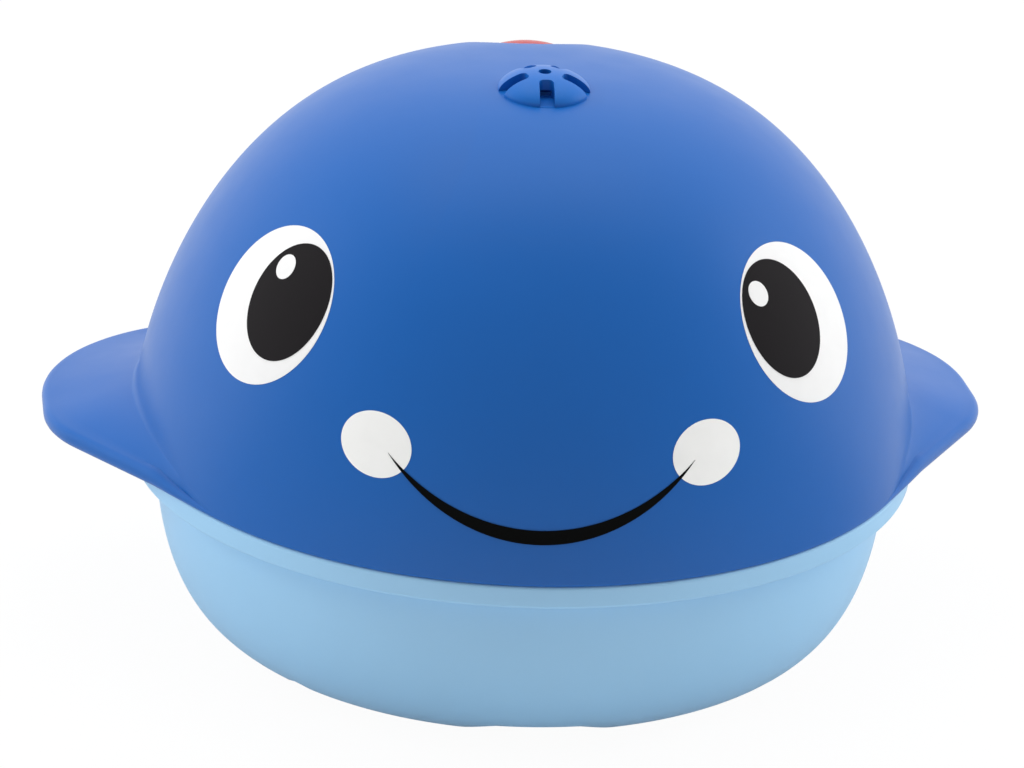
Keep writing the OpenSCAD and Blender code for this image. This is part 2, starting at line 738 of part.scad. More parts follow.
module spray_rosette() {
    color(dome_blue * 1.4) {
        intersection() {
            on_rosette_axis() rosette_slotted();
            above_rosette_seat();
        }
        translate([0, rosette_y, stem_end_z - nipple_len])
            tube(nipple_r, water_bore_r, nipple_len + eps);
        difference() {
            translate([0, rosette_y, stem_end_z]) tube(stem_r, water_bore_r, rosette_z - stem_end_z);
            above_rosette_seat();
        }
    }
}

module rosette_seal() {
    color(rubber_grey) translate([0, rosette_y, stem_end_z])
        tube(stem_r + ring_seal_w, stem_r + fit_clear, ring_seal_h);
}

module riser_hose() {
    color([0.85, 0.87, 0.88]) translate([0, rosette_y, hose_z])
        tube(hose_r, hose_in_r, stem_end_z - hose_z);
}

module push_button() {
    crown_h = button_dome_r - sqrt(button_dome_r * button_dome_r - button_r * button_r);
    color([0.85, 0.1, 0.1]) on_button_axis() {
        translate([0, 0, flange_low]) cylinder(r = button_r, h = button_top - flange_low);
        intersection() {
            translate([0, 0, button_top + crown_h - button_dome_r]) sphere(r = button_dome_r);
            translate([0, 0, button_top - eps]) cylinder(r = button_r, h = 2 * crown_h);
        }
        translate([0, 0, flange_low]) cylinder(r = flange_r, h = flange_t);
        translate([0, 0, push_stem_low]) cylinder(r = push_stem_r, h = flange_low - push_stem_low + eps);
    }
}

module button_seal() {
    color(rubber_grey) on_button_axis() translate([0, 0, sleeve_low - button_seal_t])
        tube(sleeve_r, push_stem_r + run_clear, button_seal_t);
}

module push_switch() {
    color([0.15, 0.15, 0.16]) on_button_axis() difference() {
        translate([-switch_w / 2, -switch_w / 2, board_top]) cube([switch_w, switch_w, switch_h]);
        translate([0, 0, plunger_low - button_travel - pass_clear])
            cylinder(r = plunger_r + run_clear, h = switch_h);
    }
}

module switch_plunger() {
    color([0.9, 0.9, 0.88]) on_button_axis() translate([0, 0, plunger_low])
        cylinder(r = plunger_r, h = push_stem_low - plunger_low);
}

module circuit_board() {
    color([0.1, 0.4, 0.2]) on_button_axis() difference() {
        translate([-board_len / 2, -board_w / 2, board_low]) cube([board_len, board_w, board_t]);
        for (side = [-1, 1]) translate([side * board_screw_x, 0, board_low - over])
            cylinder(r = small_screw_r + run_clear, h = board_t + 2 * over);
    }
}

module board_screws() {
    color(steel) on_button_axis() for (side = [-1, 1]) translate([side * board_screw_x, 0, board_low])
        screw_up(small_screw_r, 2 * small_screw_r, small_screw_r, small_screw_len);
}

module sounder() {
    color(brass) on_button_axis() translate([0, 0, board_low - sounder_h])
        cylinder(r = sounder_r, h = sounder_h);
}

module intake_strainer() {
    pitch = 2 * strainer_slot_w;
    color(hull_blue) translate([0, pump_y, floor_t]) difference() {
        cylinder(r = strainer_r, h = strainer_t);
        for (i = [-2:2]) {
            half = sqrt(intake_r * intake_r - pow(i * pitch, 2)) - strainer_slot_w / 2;
            translate([i * pitch - strainer_slot_w / 2, -half, -over])
                cube([strainer_slot_w, 2 * half, strainer_t + 2 * over]);
        }
    }
}

module pump_cover() {
    color([0.9, 0.91, 0.92]) translate([0, pump_y, cover_z]) tube(pump_r, inlet_r, pump_wall_t);
}

module pump_housing() {
    outlet_len = rosette_y - pump_y;
    color([0.82, 0.84, 0.86]) difference() {
        union() {
            translate([0, pump_y, chamber_z]) cylinder(r = pump_r, h = chamber_h + pump_wall_t + collar_h);
            translate([-pump_ear_x, pump_y - post_r, chamber_z])
                cube([2 * pump_ear_x, 2 * post_r, pump_ear_t]);
            for (side = [-1, 1]) translate([side * pump_ear_x, pump_y, chamber_z])
                cylinder(r = post_r, h = pump_ear_t);
            translate([0, pump_y, outlet_z]) rotate([-90, 0, 0]) cylinder(r = outlet_r, h = outlet_len);
            translate([0, rosette_y, outlet_z]) sphere(r = outlet_r);
            translate([0, rosette_y, outlet_z]) cylinder(r = outlet_r, h = hose_z - outlet_z);
            translate([0, rosette_y, outlet_z]) cylinder(r = nipple_r, h = hose_z - outlet_z + nipple_len);
        }
        translate([0, pump_y, chamber_z - over]) cylinder(r = pump_bore_r, h = chamber_h + over);
        translate([0, pump_y, chamber_z])
            cylinder(r = shaft_seal_r + fit_clear, h = chamber_h + pump_wall_t + over);
        translate([0, pump_y, motor_z]) cylinder(r = motor_r + fit_clear, h = collar_h + over);
        translate([0, pump_y, outlet_z]) rotate([-90, 0, 0]) cylinder(r = water_bore_r, h = outlet_len);
        translate([0, rosette_y, outlet_z]) cylinder(r = water_bore_r, h = hose_z + nipple_len);
        for (side = [-1, 1]) translate([side * pump_ear_x, pump_y, chamber_z - over])
            cylinder(r = screw_r + run_clear, h = pump_ear_t + 2 * over);
    }
}

module pump_screws() {
    len = chamber_z + pump_ear_t - floor_t;
    color(steel) for (side = [-1, 1]) translate([side * pump_ear_x, pump_y, chamber_z + pump_ear_t])
        mirror([0, 0, 1]) screw_up(screw_r, screw_head_r, screw_head_h, len);
}

module impeller() {
    color([0.95, 0.95, 0.93]) translate([0, pump_y, blade_z]) difference() {
        union() {
            cylinder(r = hub_r, h = blade_h);
            cylinder(r = blade_r - run_clear, h = blade_plate_t);
            for (i = [0:blade_count - 1]) rotate(360 * i / blade_count)
                translate([0, -blade_t / 2, 0]) cube([blade_r - pass_clear, blade_t, blade_h]);
        }
        translate([0, 0, -over]) cylinder(r = shaft_r, h = blade_h + 2 * over);
    }
}

module shaft_seal() {
    color(rubber_grey) translate([0, pump_y, chamber_top_z])
        tube(shaft_seal_r, shaft_r + run_clear, pump_wall_t);
}

module motor_can() {
    color(steel) difference() {
        translate([0, pump_y, motor_z]) cylinder(r = motor_r, h = motor_len);
        translate([0, pump_y, motor_z - over])
            cylinder(r = shaft_r + run_clear, h = shaft_in_motor + 2 * over);
    }
}

module motor_end_cap() {
    color([0.92, 0.92, 0.9]) translate([0, pump_y, motor_top_z])
        cylinder(r = motor_r - endcap_step, h = endcap_h);
}

module motor_shaft() {
    color(steel) translate([0, pump_y, blade_z])
        cylinder(r = shaft_r, h = motor_z + shaft_in_motor - blade_z);
}

// One cell along +X with its nipple's end at x = 0
module cell() {
    rotate([0, -90, 0]) {
        cylinder(d = nipple_d, h = nipple_h + eps);
        translate([0, 0, nipple_h]) cylinder(d = cell_d, h = cell_len - nipple_h);
    }
}

// Children at each cell's nipple, turned end for end from cell to cell
module at_cells() {
    for (i = [0:cell_count - 1]) translate([0, box_y + (i - (cell_count - 1) / 2) * cell_pitch, cell_z])
        rotate([0, 0, 180 * (i % 2)]) translate([box_half_x - contact_t, 0, 0]) children();
}

module battery_cells() {
    color([0.25, 0.45, 0.3]) at_cells() cell();
}

module contact_plates() {
    color(brass) for (side = [0, 1]) mirror([side, 0, 0])
        translate([box_half_x - contact_t, box_y - box_half_y + cell_gap, contact_low_z])
            cube([contact_t, 2 * (box_half_y - cell_gap), contact_high_z - contact_low_z]);
}

module contact_springs() {
    wide_r = cell_d / 2 - spring_step;
    narrow_r = wide_r - spring_taper;
    color(steel) at_cells() translate([-cell_len, 0, 0]) rotate([0, -90, 0]) difference() {
        cylinder(r1 = narrow_r, r2 = wide_r, h = spring_len);
        translate([0, 0, -eps])
            cylinder(r1 = narrow_r - spring_t, r2 = wide_r - spring_t, h = spring_len + 2 * eps);
    }
}

module battery_door() {
    color(hull_blue) difference() {
        intersection() {
            translate([0, 0, door_z]) linear_extrude(door_t) door_plan(0);
            hull_solid(0, 0);
        }
        translate([0, door_screw_y, -over]) cylinder(r = screw_r + run_clear, h = 2 * door_t);
        translate([0, door_screw_y, -over])
            cylinder(r = screw_head_r + run_clear, h = door_top_z - door_screw_floor_t + over);
    }
}

module door_gasket() {
    color(rubber_grey) translate([0, 0, door_top_z]) difference() {
        battery_opening(door_half_x - seal_inset, door_half_y - seal_inset, 0, door_seal_t);
        battery_opening(box_half_x + seal_inset, box_half_y + seal_inset, -over, door_seal_t + 2 * over);
    }
}

module door_screw() {
    low_z = door_top_z - door_screw_floor_t;
    color(steel) translate([0, door_screw_y, low_z])
        screw_up(screw_r, screw_head_r, screw_head_h, door_boss_top_z - 2 * box_wall_t - low_z);
}

module motor_leads() {
    color([0.75, 0.12, 0.1]) for (side = [0, 1]) mirror([side, 0, 0]) lead(motor_lead);
}

module battery_leads() {
    color([0.1, 0.1, 0.1]) for (side = [0, 1]) mirror([side, 0, 0]) lead(battery_lead);
}

// Oval with this half width and half height
module oval(half) {
    polygon([for (i = [0:$fn - 1]) [half[0] * cos(360 * i / $fn), half[1] * sin(360 * i / $fn)]]);
}

// Oval bar through both eyes, placed outwards and up in the eye and moved to the whale's right
module eye_ovals(at, half, right = 0) {
    for (side = [-1, 1]) rotate(eyes_off_turn + side * eye_turn)
        translate([0, -eye_axis_r, seam_z + dome_z(eye_axis_r)]) rotate([dome_slope(eye_axis_r), 0, 0])
            translate([side * at[0] - right, at[1], -eye_half[1]])
                linear_extrude(2 * eye_half[1]) oval(half);
}

module eye_whites() {
    color("white") difference() {
        intersection() {
            dome_skin();
            eye_ovals([0, 0], eye_half);
        }
        eye_ovals(pupil_at, pupil_half);
    }
}

module eye_pupils() {
    color([0.17, 0.16, 0.17]) difference() {
        intersection() {
            dome_skin();
            eye_ovals(pupil_at, pupil_half);
        }
        glint_ovals();
    }
}

module glint_ovals() {
    eye_ovals([pupil_at[0], pupil_at[1] + glint_at[1]], glint_half, glint_at[0]);
}

module eye_glints() {
    color("white") intersection() {
        dome_skin();
        glint_ovals();
    }
}

// Space that reaches from the middle of the body out through the whale's front
module through_front() {
    translate([0, 0, seam_z]) rotate([90, 0, mouth_off_turn]) linear_extrude(2 * shell_r) children();
}

module cheek_plan() {
    for (side = [-1, 1]) translate([side * cheek_x, cheek_h]) oval(cheek_half);
}

// Crescent of the smile from the front, blunted where its two arcs meet
module smile_plan() {
    difference() {
        translate([0, smile_low_h + smile_low_r]) circle(r = smile_low_r);
        translate([0, smile_low_h + smile_t + smile_top_r]) circle(r = smile_top_r);
        translate([-2 * shell_r, smile_end_h - smile_blunt]) square(4 * shell_r);
    }
}

module cheek_spots() {
    color([0.93, 0.93, 0.92]) intersection() {
        dome_skin();
        through_front() difference() {
            cheek_plan();
            smile_plan();
        }
    }
}

module smile() {
    color([0.07, 0.08, 0.08]) intersection() {
        dome_skin();
        through_front() smile_plan();
    }
}

upper_shell();
lower_shell();
shell_gasket();
shell_screws();
spray_rosette();
rosette_seal();
riser_hose();
push_button();
button_seal();
push_switch();
switch_plunger();
circuit_board();
board_screws();
sounder();
intake_strainer();
pump_cover();
pump_housing();
pump_screws();
impeller();
shaft_seal();
motor_can();
motor_end_cap();
motor_shaft();
battery_cells();
contact_plates();
contact_springs();
battery_door();
door_gasket();
door_screw();
motor_leads();
battery_leads();
eye_whites();
eye_pupils();
eye_glints();
cheek_spots();
smile();
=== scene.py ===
"""Looks of a floating whale bath sprinkler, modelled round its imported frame.

Metres. The origin is on the body's axis in the base plane, +Z is up and the whale faces -Y.
"""

import json
import math

import bpy
from bpy.props import FloatProperty, FloatVectorProperty, IntProperty, PointerProperty
from mathutils import Color, Matrix, Vector


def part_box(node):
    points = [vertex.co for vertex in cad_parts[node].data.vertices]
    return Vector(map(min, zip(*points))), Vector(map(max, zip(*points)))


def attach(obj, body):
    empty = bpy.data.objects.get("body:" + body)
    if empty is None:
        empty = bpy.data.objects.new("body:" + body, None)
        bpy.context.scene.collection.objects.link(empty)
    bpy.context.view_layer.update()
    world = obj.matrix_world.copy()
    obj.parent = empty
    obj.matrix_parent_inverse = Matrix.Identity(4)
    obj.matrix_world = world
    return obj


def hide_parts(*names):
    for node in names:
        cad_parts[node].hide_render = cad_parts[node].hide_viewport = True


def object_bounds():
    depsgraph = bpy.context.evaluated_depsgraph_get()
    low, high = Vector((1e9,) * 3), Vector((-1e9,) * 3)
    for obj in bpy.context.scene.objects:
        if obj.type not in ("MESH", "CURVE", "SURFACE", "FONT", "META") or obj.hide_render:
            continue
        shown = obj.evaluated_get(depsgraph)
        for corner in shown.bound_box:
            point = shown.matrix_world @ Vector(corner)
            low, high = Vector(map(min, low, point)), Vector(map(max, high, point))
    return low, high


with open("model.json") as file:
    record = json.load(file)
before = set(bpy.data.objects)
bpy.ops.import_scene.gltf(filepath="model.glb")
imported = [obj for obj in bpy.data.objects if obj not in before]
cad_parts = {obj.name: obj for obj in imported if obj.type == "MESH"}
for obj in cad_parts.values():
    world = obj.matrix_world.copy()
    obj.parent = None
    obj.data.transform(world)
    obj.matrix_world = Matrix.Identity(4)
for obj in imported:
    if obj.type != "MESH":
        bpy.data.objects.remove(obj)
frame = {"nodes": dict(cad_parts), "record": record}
cad_box = [list(corner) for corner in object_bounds()]

bl_info = {
    "name": "Whale bath sprinkler",
    "version": (1, 0, 0),
    "blender": (4, 5, 0),
    "location": "View3D > Sidebar > Whale",
    "description": "Models the shells, fins, face, rosette and button of a whale bath sprinkler",
    "category": "Object",
}

MM = 0.001
IMAGE_SIZE = (1024, 768)
SENSOR = 36
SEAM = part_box("upper_shell")[0].z
ROOM = 0.3 * MM
TOUCHING = 0.001 * MM
FINE_SIDES = 128
SMOOTH_UNDER = math.radians(35)
SIDES = (-1, 1)
WHITE = (1, 1, 1, 1)


def length(name, description, default):
    """A length property whose default is given in millimetres."""
    return FloatProperty(name=name, description=description, default=default * MM, unit="LENGTH", precision=5)


def lengths(name, description, default):
    """A pair of lengths whose defaults are given in millimetres."""
    return FloatVectorProperty(name=name, description=description, default=[v * MM for v in default], size=2,
                               unit="LENGTH", precision=5)


def angle(name, description, default):
    """An angle property whose default is given in degrees."""
    return FloatProperty(name=name, description=description, default=math.radians(default), unit="ROTATION")


def number(name, description, default):
    """A plain number property."""
    return FloatProperty(name=name, description=description, default=default)


def count(name, description, default):
    """A whole number property."""
    return IntProperty(name=name, description=description, default=default, min=3)


def colour(name, description, default):
    """A colour property, given as red, green and blue on the screen from 0 to 255."""
    linear = Color([v / 255 for v in default]).from_srgb_to_scene_linear()
    return FloatVectorProperty(name=name, description=description, default=linear[:], subtype="COLOR",
                               min=0, max=1)


class WhaleShells(bpy.types.PropertyGroup):
    """Sizes of the two shells."""

    radius: length("Shell radius", "Outer radius of the dome at the seam", 67)
    dome_rise: length("Dome height", "Height of the dome above the seam", 64.4)
    side_power: number("Dome side", "Squareness of the dome's side, where 2 is an ellipse", 2.7)
    crown_power: number("Dome crown", "Squareness of the dome's crown, where 2 is an ellipse", 1.62)
    wall: length("Wall", "Wall of both shells", 2.2)
    edge_round: length("Seam rounding", "Rounding of the edges along the seam", 0.5)
    ledge_height: length("Ledge height", "Height of the rim ledge below the seam", 3.7)
    ledge_proud: length("Ledge reach", "How far the ledge stands out past the dome", 0)
    ledge_round: length("Ledge rounding", "Rounding of the ledge's outer edges", 0.6)
    hull_inset: length("Hull inset", "How far the hull's wall lies inside the dome's radius", 4.1)
    base_radius: length("Base radius", "Radius of the flat base", 33.5)
    hull_side_power: number("Hull side", "Squareness of the hull's side", 4.35)
    hull_bottom_power: number("Hull bottom", "Squareness of the hull's bottom", 2.07)
    floor: length("Floor", "Thickness of the hull's floor", 2.8)
    lip_height: length("Lip height", "Height of the locating lip above the seam", 3)
    lip_wall: length("Lip wall", "Thickness of the locating lip", 2)
    channel_half_width: length("Channel half width", "Half width of the water channel under the base", 12.7)
    channel_depth: length("Channel depth", "Depth of the water channel", 1.4)
    channel_end: length("Channel end", "Place along the body where the channel ends", -17.5)
    channel_ramp: length("Channel ramp", "Length of the slope that ends the channel", 3)
    channel_rise_y: length("Channel rise", "Place along the body where the channel starts to climb", -46.7)
    channel_climb: number("Channel climb", "Slope of the channel towards the front", 0.41)
    turn_steps: count("Turn steps", "Facets round each shell", 288)


class WhaleFins(bpy.types.PropertyGroup):
    """Sizes of the side fins and the tail."""

    corner: length("Fin corner", "Radius of the fin's front corner in plan", 22)
    corner_at: lengths("Corner place", "Centre of the front corner across and along the body", (59.8, 5))
    sweep: length("Fin sweep", "Radius of the fin's swept back edge in plan", 33)
    sweep_at: lengths("Sweep place", "Centre of the swept edge across and along the body", (49, 12.5))
    front: angle("Fin front", "Angle from the nose at which the fin starts", 53)
    back: angle("Fin back", "Angle from the nose at which the fin ends", 132)
    off_turn: angle("Fins off middle", "How far round the body both fins are turned off the middle", 4)
    thickness: length("Fin thickness", "Thickness of the fin's edge", 3.2)
    root_rise: length("Fin root", "Height of the plate's root above the seam", 7.6)
    fillet_rise: length("Fin fillet", "Height at which the fillet meets the dome", 9.6)
    fillet_share: number("Fillet share", "Share of the plate's width that the fillet takes", 0.06)
    tail_tip: length("Tail tip", "Reach of the flukes along the body", 86.5)
    tail_half_width: length("Fluke half width", "Half width of the flukes", 21.4)


class WhaleTrim(bpy.types.PropertyGroup):
    """Sizes of the spray rosette and the push button."""

    rosette_y: length("Rosette place", "Place of the rosette along the body", -13)
    rosette_radius: length("Rosette radius", "Radius of the rosette", 7.5)
    rosette_rise: length("Rosette height", "Height of the rosette's domed cap", 2.9)
    rosette_side: number("Rosette side", "Squareness of the cap's side, where 2 is an ellipse", 2.3)
    rosette_crown: number("Rosette crown", "Squareness of the cap's crown, where 2 is an ellipse", 1.5)
    rosette_sink: length("Rosette seat", "Depth of the seat that the rosette stands in", 0.6)
    slot_count: count("Slots", "Number of radial slots", 5)
    slot_width: length("Slot width", "Width of a slot", 2.4)
    slot_start: length("Slot start", "Distance of a slot's inner end from the centre", 3)
    jet: length("Jet radius", "Radius of the centre hole", 1.05)
    button_y: length("Button place", "Place of the button along the body", 25)
    button_radius: length("Button radius", "Radius of the button", 7.5)
    button_dome: length("Button dome", "Radius of the button's domed top", 18)
    button_side: length("Button side", "Height of the button's straight side above the dish", 0.3)
    button_gap: length("Button gap", "Room round the button", 0.05)
    dish_depth: length("Dish depth", "Depth of the dish that the button sits in", 3.4)
    dish_radius: length("Dish radius", "Radius of the dish's hollow", 20)
    dish_blend: length("Dish rim", "Rounding of the dish's rim", 0.6)


class WhaleFace(bpy.types.PropertyGroup):
    """Sizes of the printed face."""

    eyes_off_turn: angle("Eyes off middle", "How far round the body both eyes are printed off the middle", -3)
    mouth_off_turn: angle("Mouth off middle", "How far round cheeks and smile are printed off the middle", -1.8)
    eye_turn: angle("Eye turn", "Angle of an eye from the middle of the face", 47.7)
    eye_distance: length("Eye distance", "Distance of an eye's centre from the body's axis", 56.6)
    eye_half: lengths("Eye half axes", "Half width and half height of the eye's white", (12.1, 13.2))
    pupil_half: lengths("Pupil half axes", "Half width and half height of the pupil", (8, 9.8))
    pupil_at: lengths("Pupil place", "Place of the pupil in the eye, outwards and up", (-3.4, 1.3))
    glint_half: lengths("Glint half axes", "Half width and half height of the glint", (1.9, 2.1))
    glint_at: lengths("Glint place", "Place of the glint in the pupil, to its right and up", (3.4, 4.9))
    cheek_x: length("Cheek across", "Distance of a cheek's centre from the middle", 25.5)
    cheek_up: length("Cheek height", "Height of a cheek's centre above the seam", 19.4)
    cheek_half: lengths("Cheek half axes", "Half width and half height of a cheek", (5.4, 4.8))
    smile_half_width: length("Smile half width", "Half width of the smile", 23.7)
    smile_end: length("Smile ends", "Height of the smile's ends above the seam", 18.6)
    smile_low: length("Smile low", "Height of the smile's lowest point above the seam", 6.9)
    smile_width: length("Smile width", "Width of the smile's line in the middle", 2.2)
    layer: length("Ink layer", "Height of one layer of ink above what it lies on", 0.06)


class WhaleColours(bpy.types.PropertyGroup):
    """Colours of the finishes."""

    dome: colour("Dome", "Blue of the upper shell", (12, 94, 176))
    hull: colour("Hull", "Pale blue of the lower shell", (152, 199, 233))
    rosette: colour("Rosette", "Blue of the spray rosette", (22, 104, 190))
    button: colour("Button", "Red of the push button", (178, 20, 36))
    white_ink: colour("White ink", "White of the eyes", (238, 238, 238))
    # The cheeks' white is paler than the eyes' white ink. This is painted light that makes up for the dimmer
    # light on the front of the face.
    cheek_ink: colour("Cheek ink", "White of the cheeks", (248, 248, 246))
    black_ink: colour("Black ink", "Black of the smile", (11, 12, 12))
    pupil_ink: colour("Pupil ink", "Soft black of the pupils", (32, 30, 32))


class WhaleStage(bpy.types.PropertyGroup):
    """Camera and light."""

    distance: length("Camera distance", "Distance from the camera to the seam's centre", 558.3)
    elevation: angle("Camera elevation", "Angle of the camera above the seam", 21.9)
    azimuth: angle("Camera azimuth", "Angle of the camera round the body", -5)
    roll: angle("Camera roll", "Turn of the camera about its own line of sight", 2.575)
    lens: number("Lens", "Focal length of the camera in millimetres", 113.6)
    centre_px: FloatVectorProperty(name="Centre pixel", description="Pixel at which the seam's centre shows",
                                   size=2, default=(521.97, 424.42))
    sky: number("Sky", "Strength of the soft light from all round", 0.7)
    front_sky: number("Front sky", "Strength of that light from the camera's side", 0.37)
    front_mirror: number("Front mirror", "Strength of what gloss mirrors on the camera's side", 0.3)
    top_watts: number("Top light", "Power of the overhead softbox in watts", 5.2)
    side_watts: number("Side lights", "Power of each side softbox in watts", 3.8)


class WhaleSettings(bpy.types.PropertyGroup):
    """All of the whale's settings."""

    shells: PointerProperty(type=WhaleShells)
    fins: PointerProperty(type=WhaleFins)
    trim: PointerProperty(type=WhaleTrim)
    face: PointerProperty(type=WhaleFace)
    colours: PointerProperty(type=WhaleColours)
    stage: PointerProperty(type=WhaleStage)


def settings():
    """The scene's whale settings."""
    return bpy.context.scene.whale


# Profiles of the shells

def dome_height(radius):
    """Height of the dome above the seam at this distance from its axis."""
    s = settings().shells
    return s.dome_rise * (1 - (radius / s.radius) ** s.side_power) ** (1 / s.crown_power)


def dome_radius(height):
    """Radius of the dome at this height above the seam."""
    s = settings().shells
    return s.radius * (1 - (max(height, 0) / s.dome_rise) ** s.crown_power) ** (1 / s.side_power)


def dome_slope(radius):
    """Slope of the dome at this distance from its axis, as an angle."""
    step = 0.01 * MM
    return math.atan2(dome_height(radius - step) - dome_height(radius + step), 2 * step)


def arc(centre, radius, start, end, steps):
    """Points on a circle's arc, with angles in degrees."""
    turns = [math.radians(start + (end - start) * i / steps) for i in range(steps + 1)]
    return [(centre[0] + radius * math.cos(t), centre[1] + radius * math.sin(t)) for t in turns]


def evenly(points, steps):
    """Points spaced evenly along a finely drawn line, its two ends among them."""
    runs = [0]
    for a, b in zip(points, points[1:]):
        runs.append(runs[-1] + math.dist(a, b))
    picked = []
    at = 0
    for i in range(steps + 1):
        goal = runs[-1] * i / steps
        while at < len(runs) - 2 and runs[at + 1] < goal:
            at += 1
        share = (goal - runs[at]) / max(runs[at + 1] - runs[at], 1e-12)
        picked.append(tuple(p + (q - p) * share for p, q in zip(points[at], points[at + 1])))
    return picked


def quarter_turn():
    """Fine steps through a quarter turn, from its end to its start."""
    steps = 4000
    return [math.pi / 2 * (1 - i / steps) for i in range(steps + 1)]


def dome_line(drawn_in, steps):
    """The dome's half profile from the crown down to the seam, drawn in by a wall's thickness."""
    s = settings().shells
    points = [((s.radius - drawn_in) * max(math.cos(a), 0) ** (2 / s.side_power),
               SEAM + (s.dome_rise - drawn_in) * math.sin(a) ** (2 / s.crown_power)) for a in quarter_turn()]
    return evenly(points, steps)


def hull_line(drawn_in, low, steps):
    """The hull's half profile from the base up to the ledge, drawn in by a wall's thickness."""
    s = settings().shells
    top_radius = s.radius - s.hull_inset - drawn_in
    low_radius = s.base_radius - drawn_in
    top = SEAM - s.ledge_height
    points = [(low_radius + (top_radius - low_radius) * max(math.cos(a), 0) ** (2 / s.hull_side_power),
               low + (top - low) * (1 - math.sin(a) ** (2 / s.hull_bottom_power))) for a in quarter_turn()]
    return evenly(points, steps)


# Modelling steps that several pieces share

def deselect():
    """Leaves object mode on with nothing selected."""
    if bpy.context.object and bpy.context.object.mode != "OBJECT":
        bpy.ops.object.mode_set(mode="OBJECT")
    bpy.ops.object.select_all(action="DESELECT")


def pick(piece):
    """Makes this piece the only one selected, and the active one."""
    deselect()
    piece.select_set(True)
    bpy.context.view_layer.objects.active = piece


def edit_all(piece):
    """Goes into edit mode with the whole of one piece selected."""
    pick(piece)
    bpy.ops.object.mode_set(mode="EDIT")
    bpy.ops.mesh.select_all(action="SELECT")


def close_up(piece):
    """Merges a piece's meeting points, fills its open ends and turns its faces outwards."""
    edit_all(piece)
    bpy.ops.mesh.remove_doubles(threshold=TOUCHING)
    bpy.ops.mesh.fill_holes(sides=0)
    bpy.ops.mesh.select_all(action="SELECT")
    bpy.ops.mesh.normals_make_consistent(inside=False)
    bpy.ops.object.mode_set(mode="OBJECT")


def clean(piece):
    """Merges points that all but touch and dissolves the faces that are left without area."""
    near = 0.03 * MM
    edit_all(piece)
    bpy.ops.mesh.remove_doubles(threshold=near)
    bpy.ops.mesh.select_all(action="SELECT")
    bpy.ops.mesh.dissolve_degenerate(threshold=near)
    bpy.ops.object.mode_set(mode="OBJECT")


def turned(name, profile, steps):
    """A piece turned about the z axis from a half profile of radii and heights."""
    deselect()
    bpy.ops.mesh.primitive_plane_add(size=MM)
    piece = bpy.context.object
    piece.name = name
    bpy.ops.object.mode_set(mode="EDIT")
    bpy.ops.mesh.merge(type="CENTER")
    bpy.ops.transform.translate(value=(profile[0][0], 0, profile[0][1]))
    for a, b in zip(profile, profile[1:]):
        bpy.ops.mesh.extrude_region_move(TRANSFORM_OT_translate={"value": (b[0] - a[0], 0, b[1] - a[1])})
    bpy.ops.mesh.select_all(action="SELECT")
    bpy.ops.mesh.spin(steps=steps, angle=2 * math.pi, center=(0, 0, 0), axis=(0, 0, 1))
    close_up(piece)
    return piece


def laid_out(name, across, along, place):
    """A piece whose sheet of quads is moved to place(u, v), with u and v from 0 to 1."""
    deselect()
    bpy.ops.mesh.primitive_grid_add(x_subdivisions=across, y_subdivisions=along, size=1)
    piece = bpy.context.object
    piece.name = name
    for vertex in piece.data.vertices:
        vertex.co = place(vertex.co.x + 0.5, vertex.co.y + 0.5)
    return piece


def block(low, high):
    """A box between two corners."""
    deselect()
    bpy.ops.mesh.primitive_cube_add(size=1)
    piece = bpy.context.object
    centre = [(a + b) / 2 for a, b in zip(low, high)]
    for vertex in piece.data.vertices:
        vertex.co = [c + co * (b - a) for c, co, a, b in zip(centre, vertex.co, low, high)]
    return piece


def rod(radius, low, high, at, sides=64):
    """A round bar along z at a place in plan."""
    deselect()
    bpy.ops.mesh.primitive_cylinder_add(vertices=sides, radius=radius, depth=high - low)
    piece = bpy.context.object
    piece.data.transform(Matrix.Translation((at[0], at[1], (low + high) / 2)))
    return piece


def modify(piece, kind, values):
    """Adds a modifier of this type with its settings and applies it."""
    pick(piece)
    bpy.ops.object.modifier_add(type=kind)
    modifier = piece.modifiers[-1]
    for name, value in values.items():
        setattr(modifier, name, value)
    bpy.ops.object.modifier_apply(modifier=modifier.name)


def combine(piece, other, operation):
    """Joins another solid to the piece, or cuts it out, and removes the other."""
    modify(piece, "BOOLEAN", {"operation": operation, "solver": "EXACT", "object": other})
    bpy.data.objects.remove(other)


def united(solids):
    """One solid made of several that overlap."""
    whole = solids[0]
    for other in solids[1:]:
        combine(whole, other, "UNION")
    return whole


def join(pieces, name):
    """Several meshes as one piece."""
    pick(pieces[0])
    for piece in pieces[1:]:
        piece.select_set(True)
    bpy.ops.object.join()
    pieces[0].name = name
    return pieces[0]


def mirrored(piece):
    """A copy of the piece on the body's other side, with its own mesh."""
    pick(piece)
    bpy.ops.object.duplicate()
    other = bpy.context.object
    other.data.transform(Matrix.Diagonal((-1, 1, 1, 1)))
    other.data.flip_normals()
    return other


def hand_over(piece, body, slot, nodes, finish=None):
    """Shades a finished piece, gives it its finish and ties it to the frame."""
    pick(piece)
    bpy.ops.object.shade_smooth_by_angle(angle=SMOOTH_UNDER)
    piece.data.materials.clear()
    piece.data.materials.append(finish or finish_of(slot))
    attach(piece, body)
    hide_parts(*nodes)


def soft_least(a, b, width):
    """The smaller of two heights, rounded where they cross."""
    share = min(max(0.5 + 0.5 * (b - a) / width, 0), 1)
    return b + (a - b) * share - width * share * (1 - share)


# Finishes

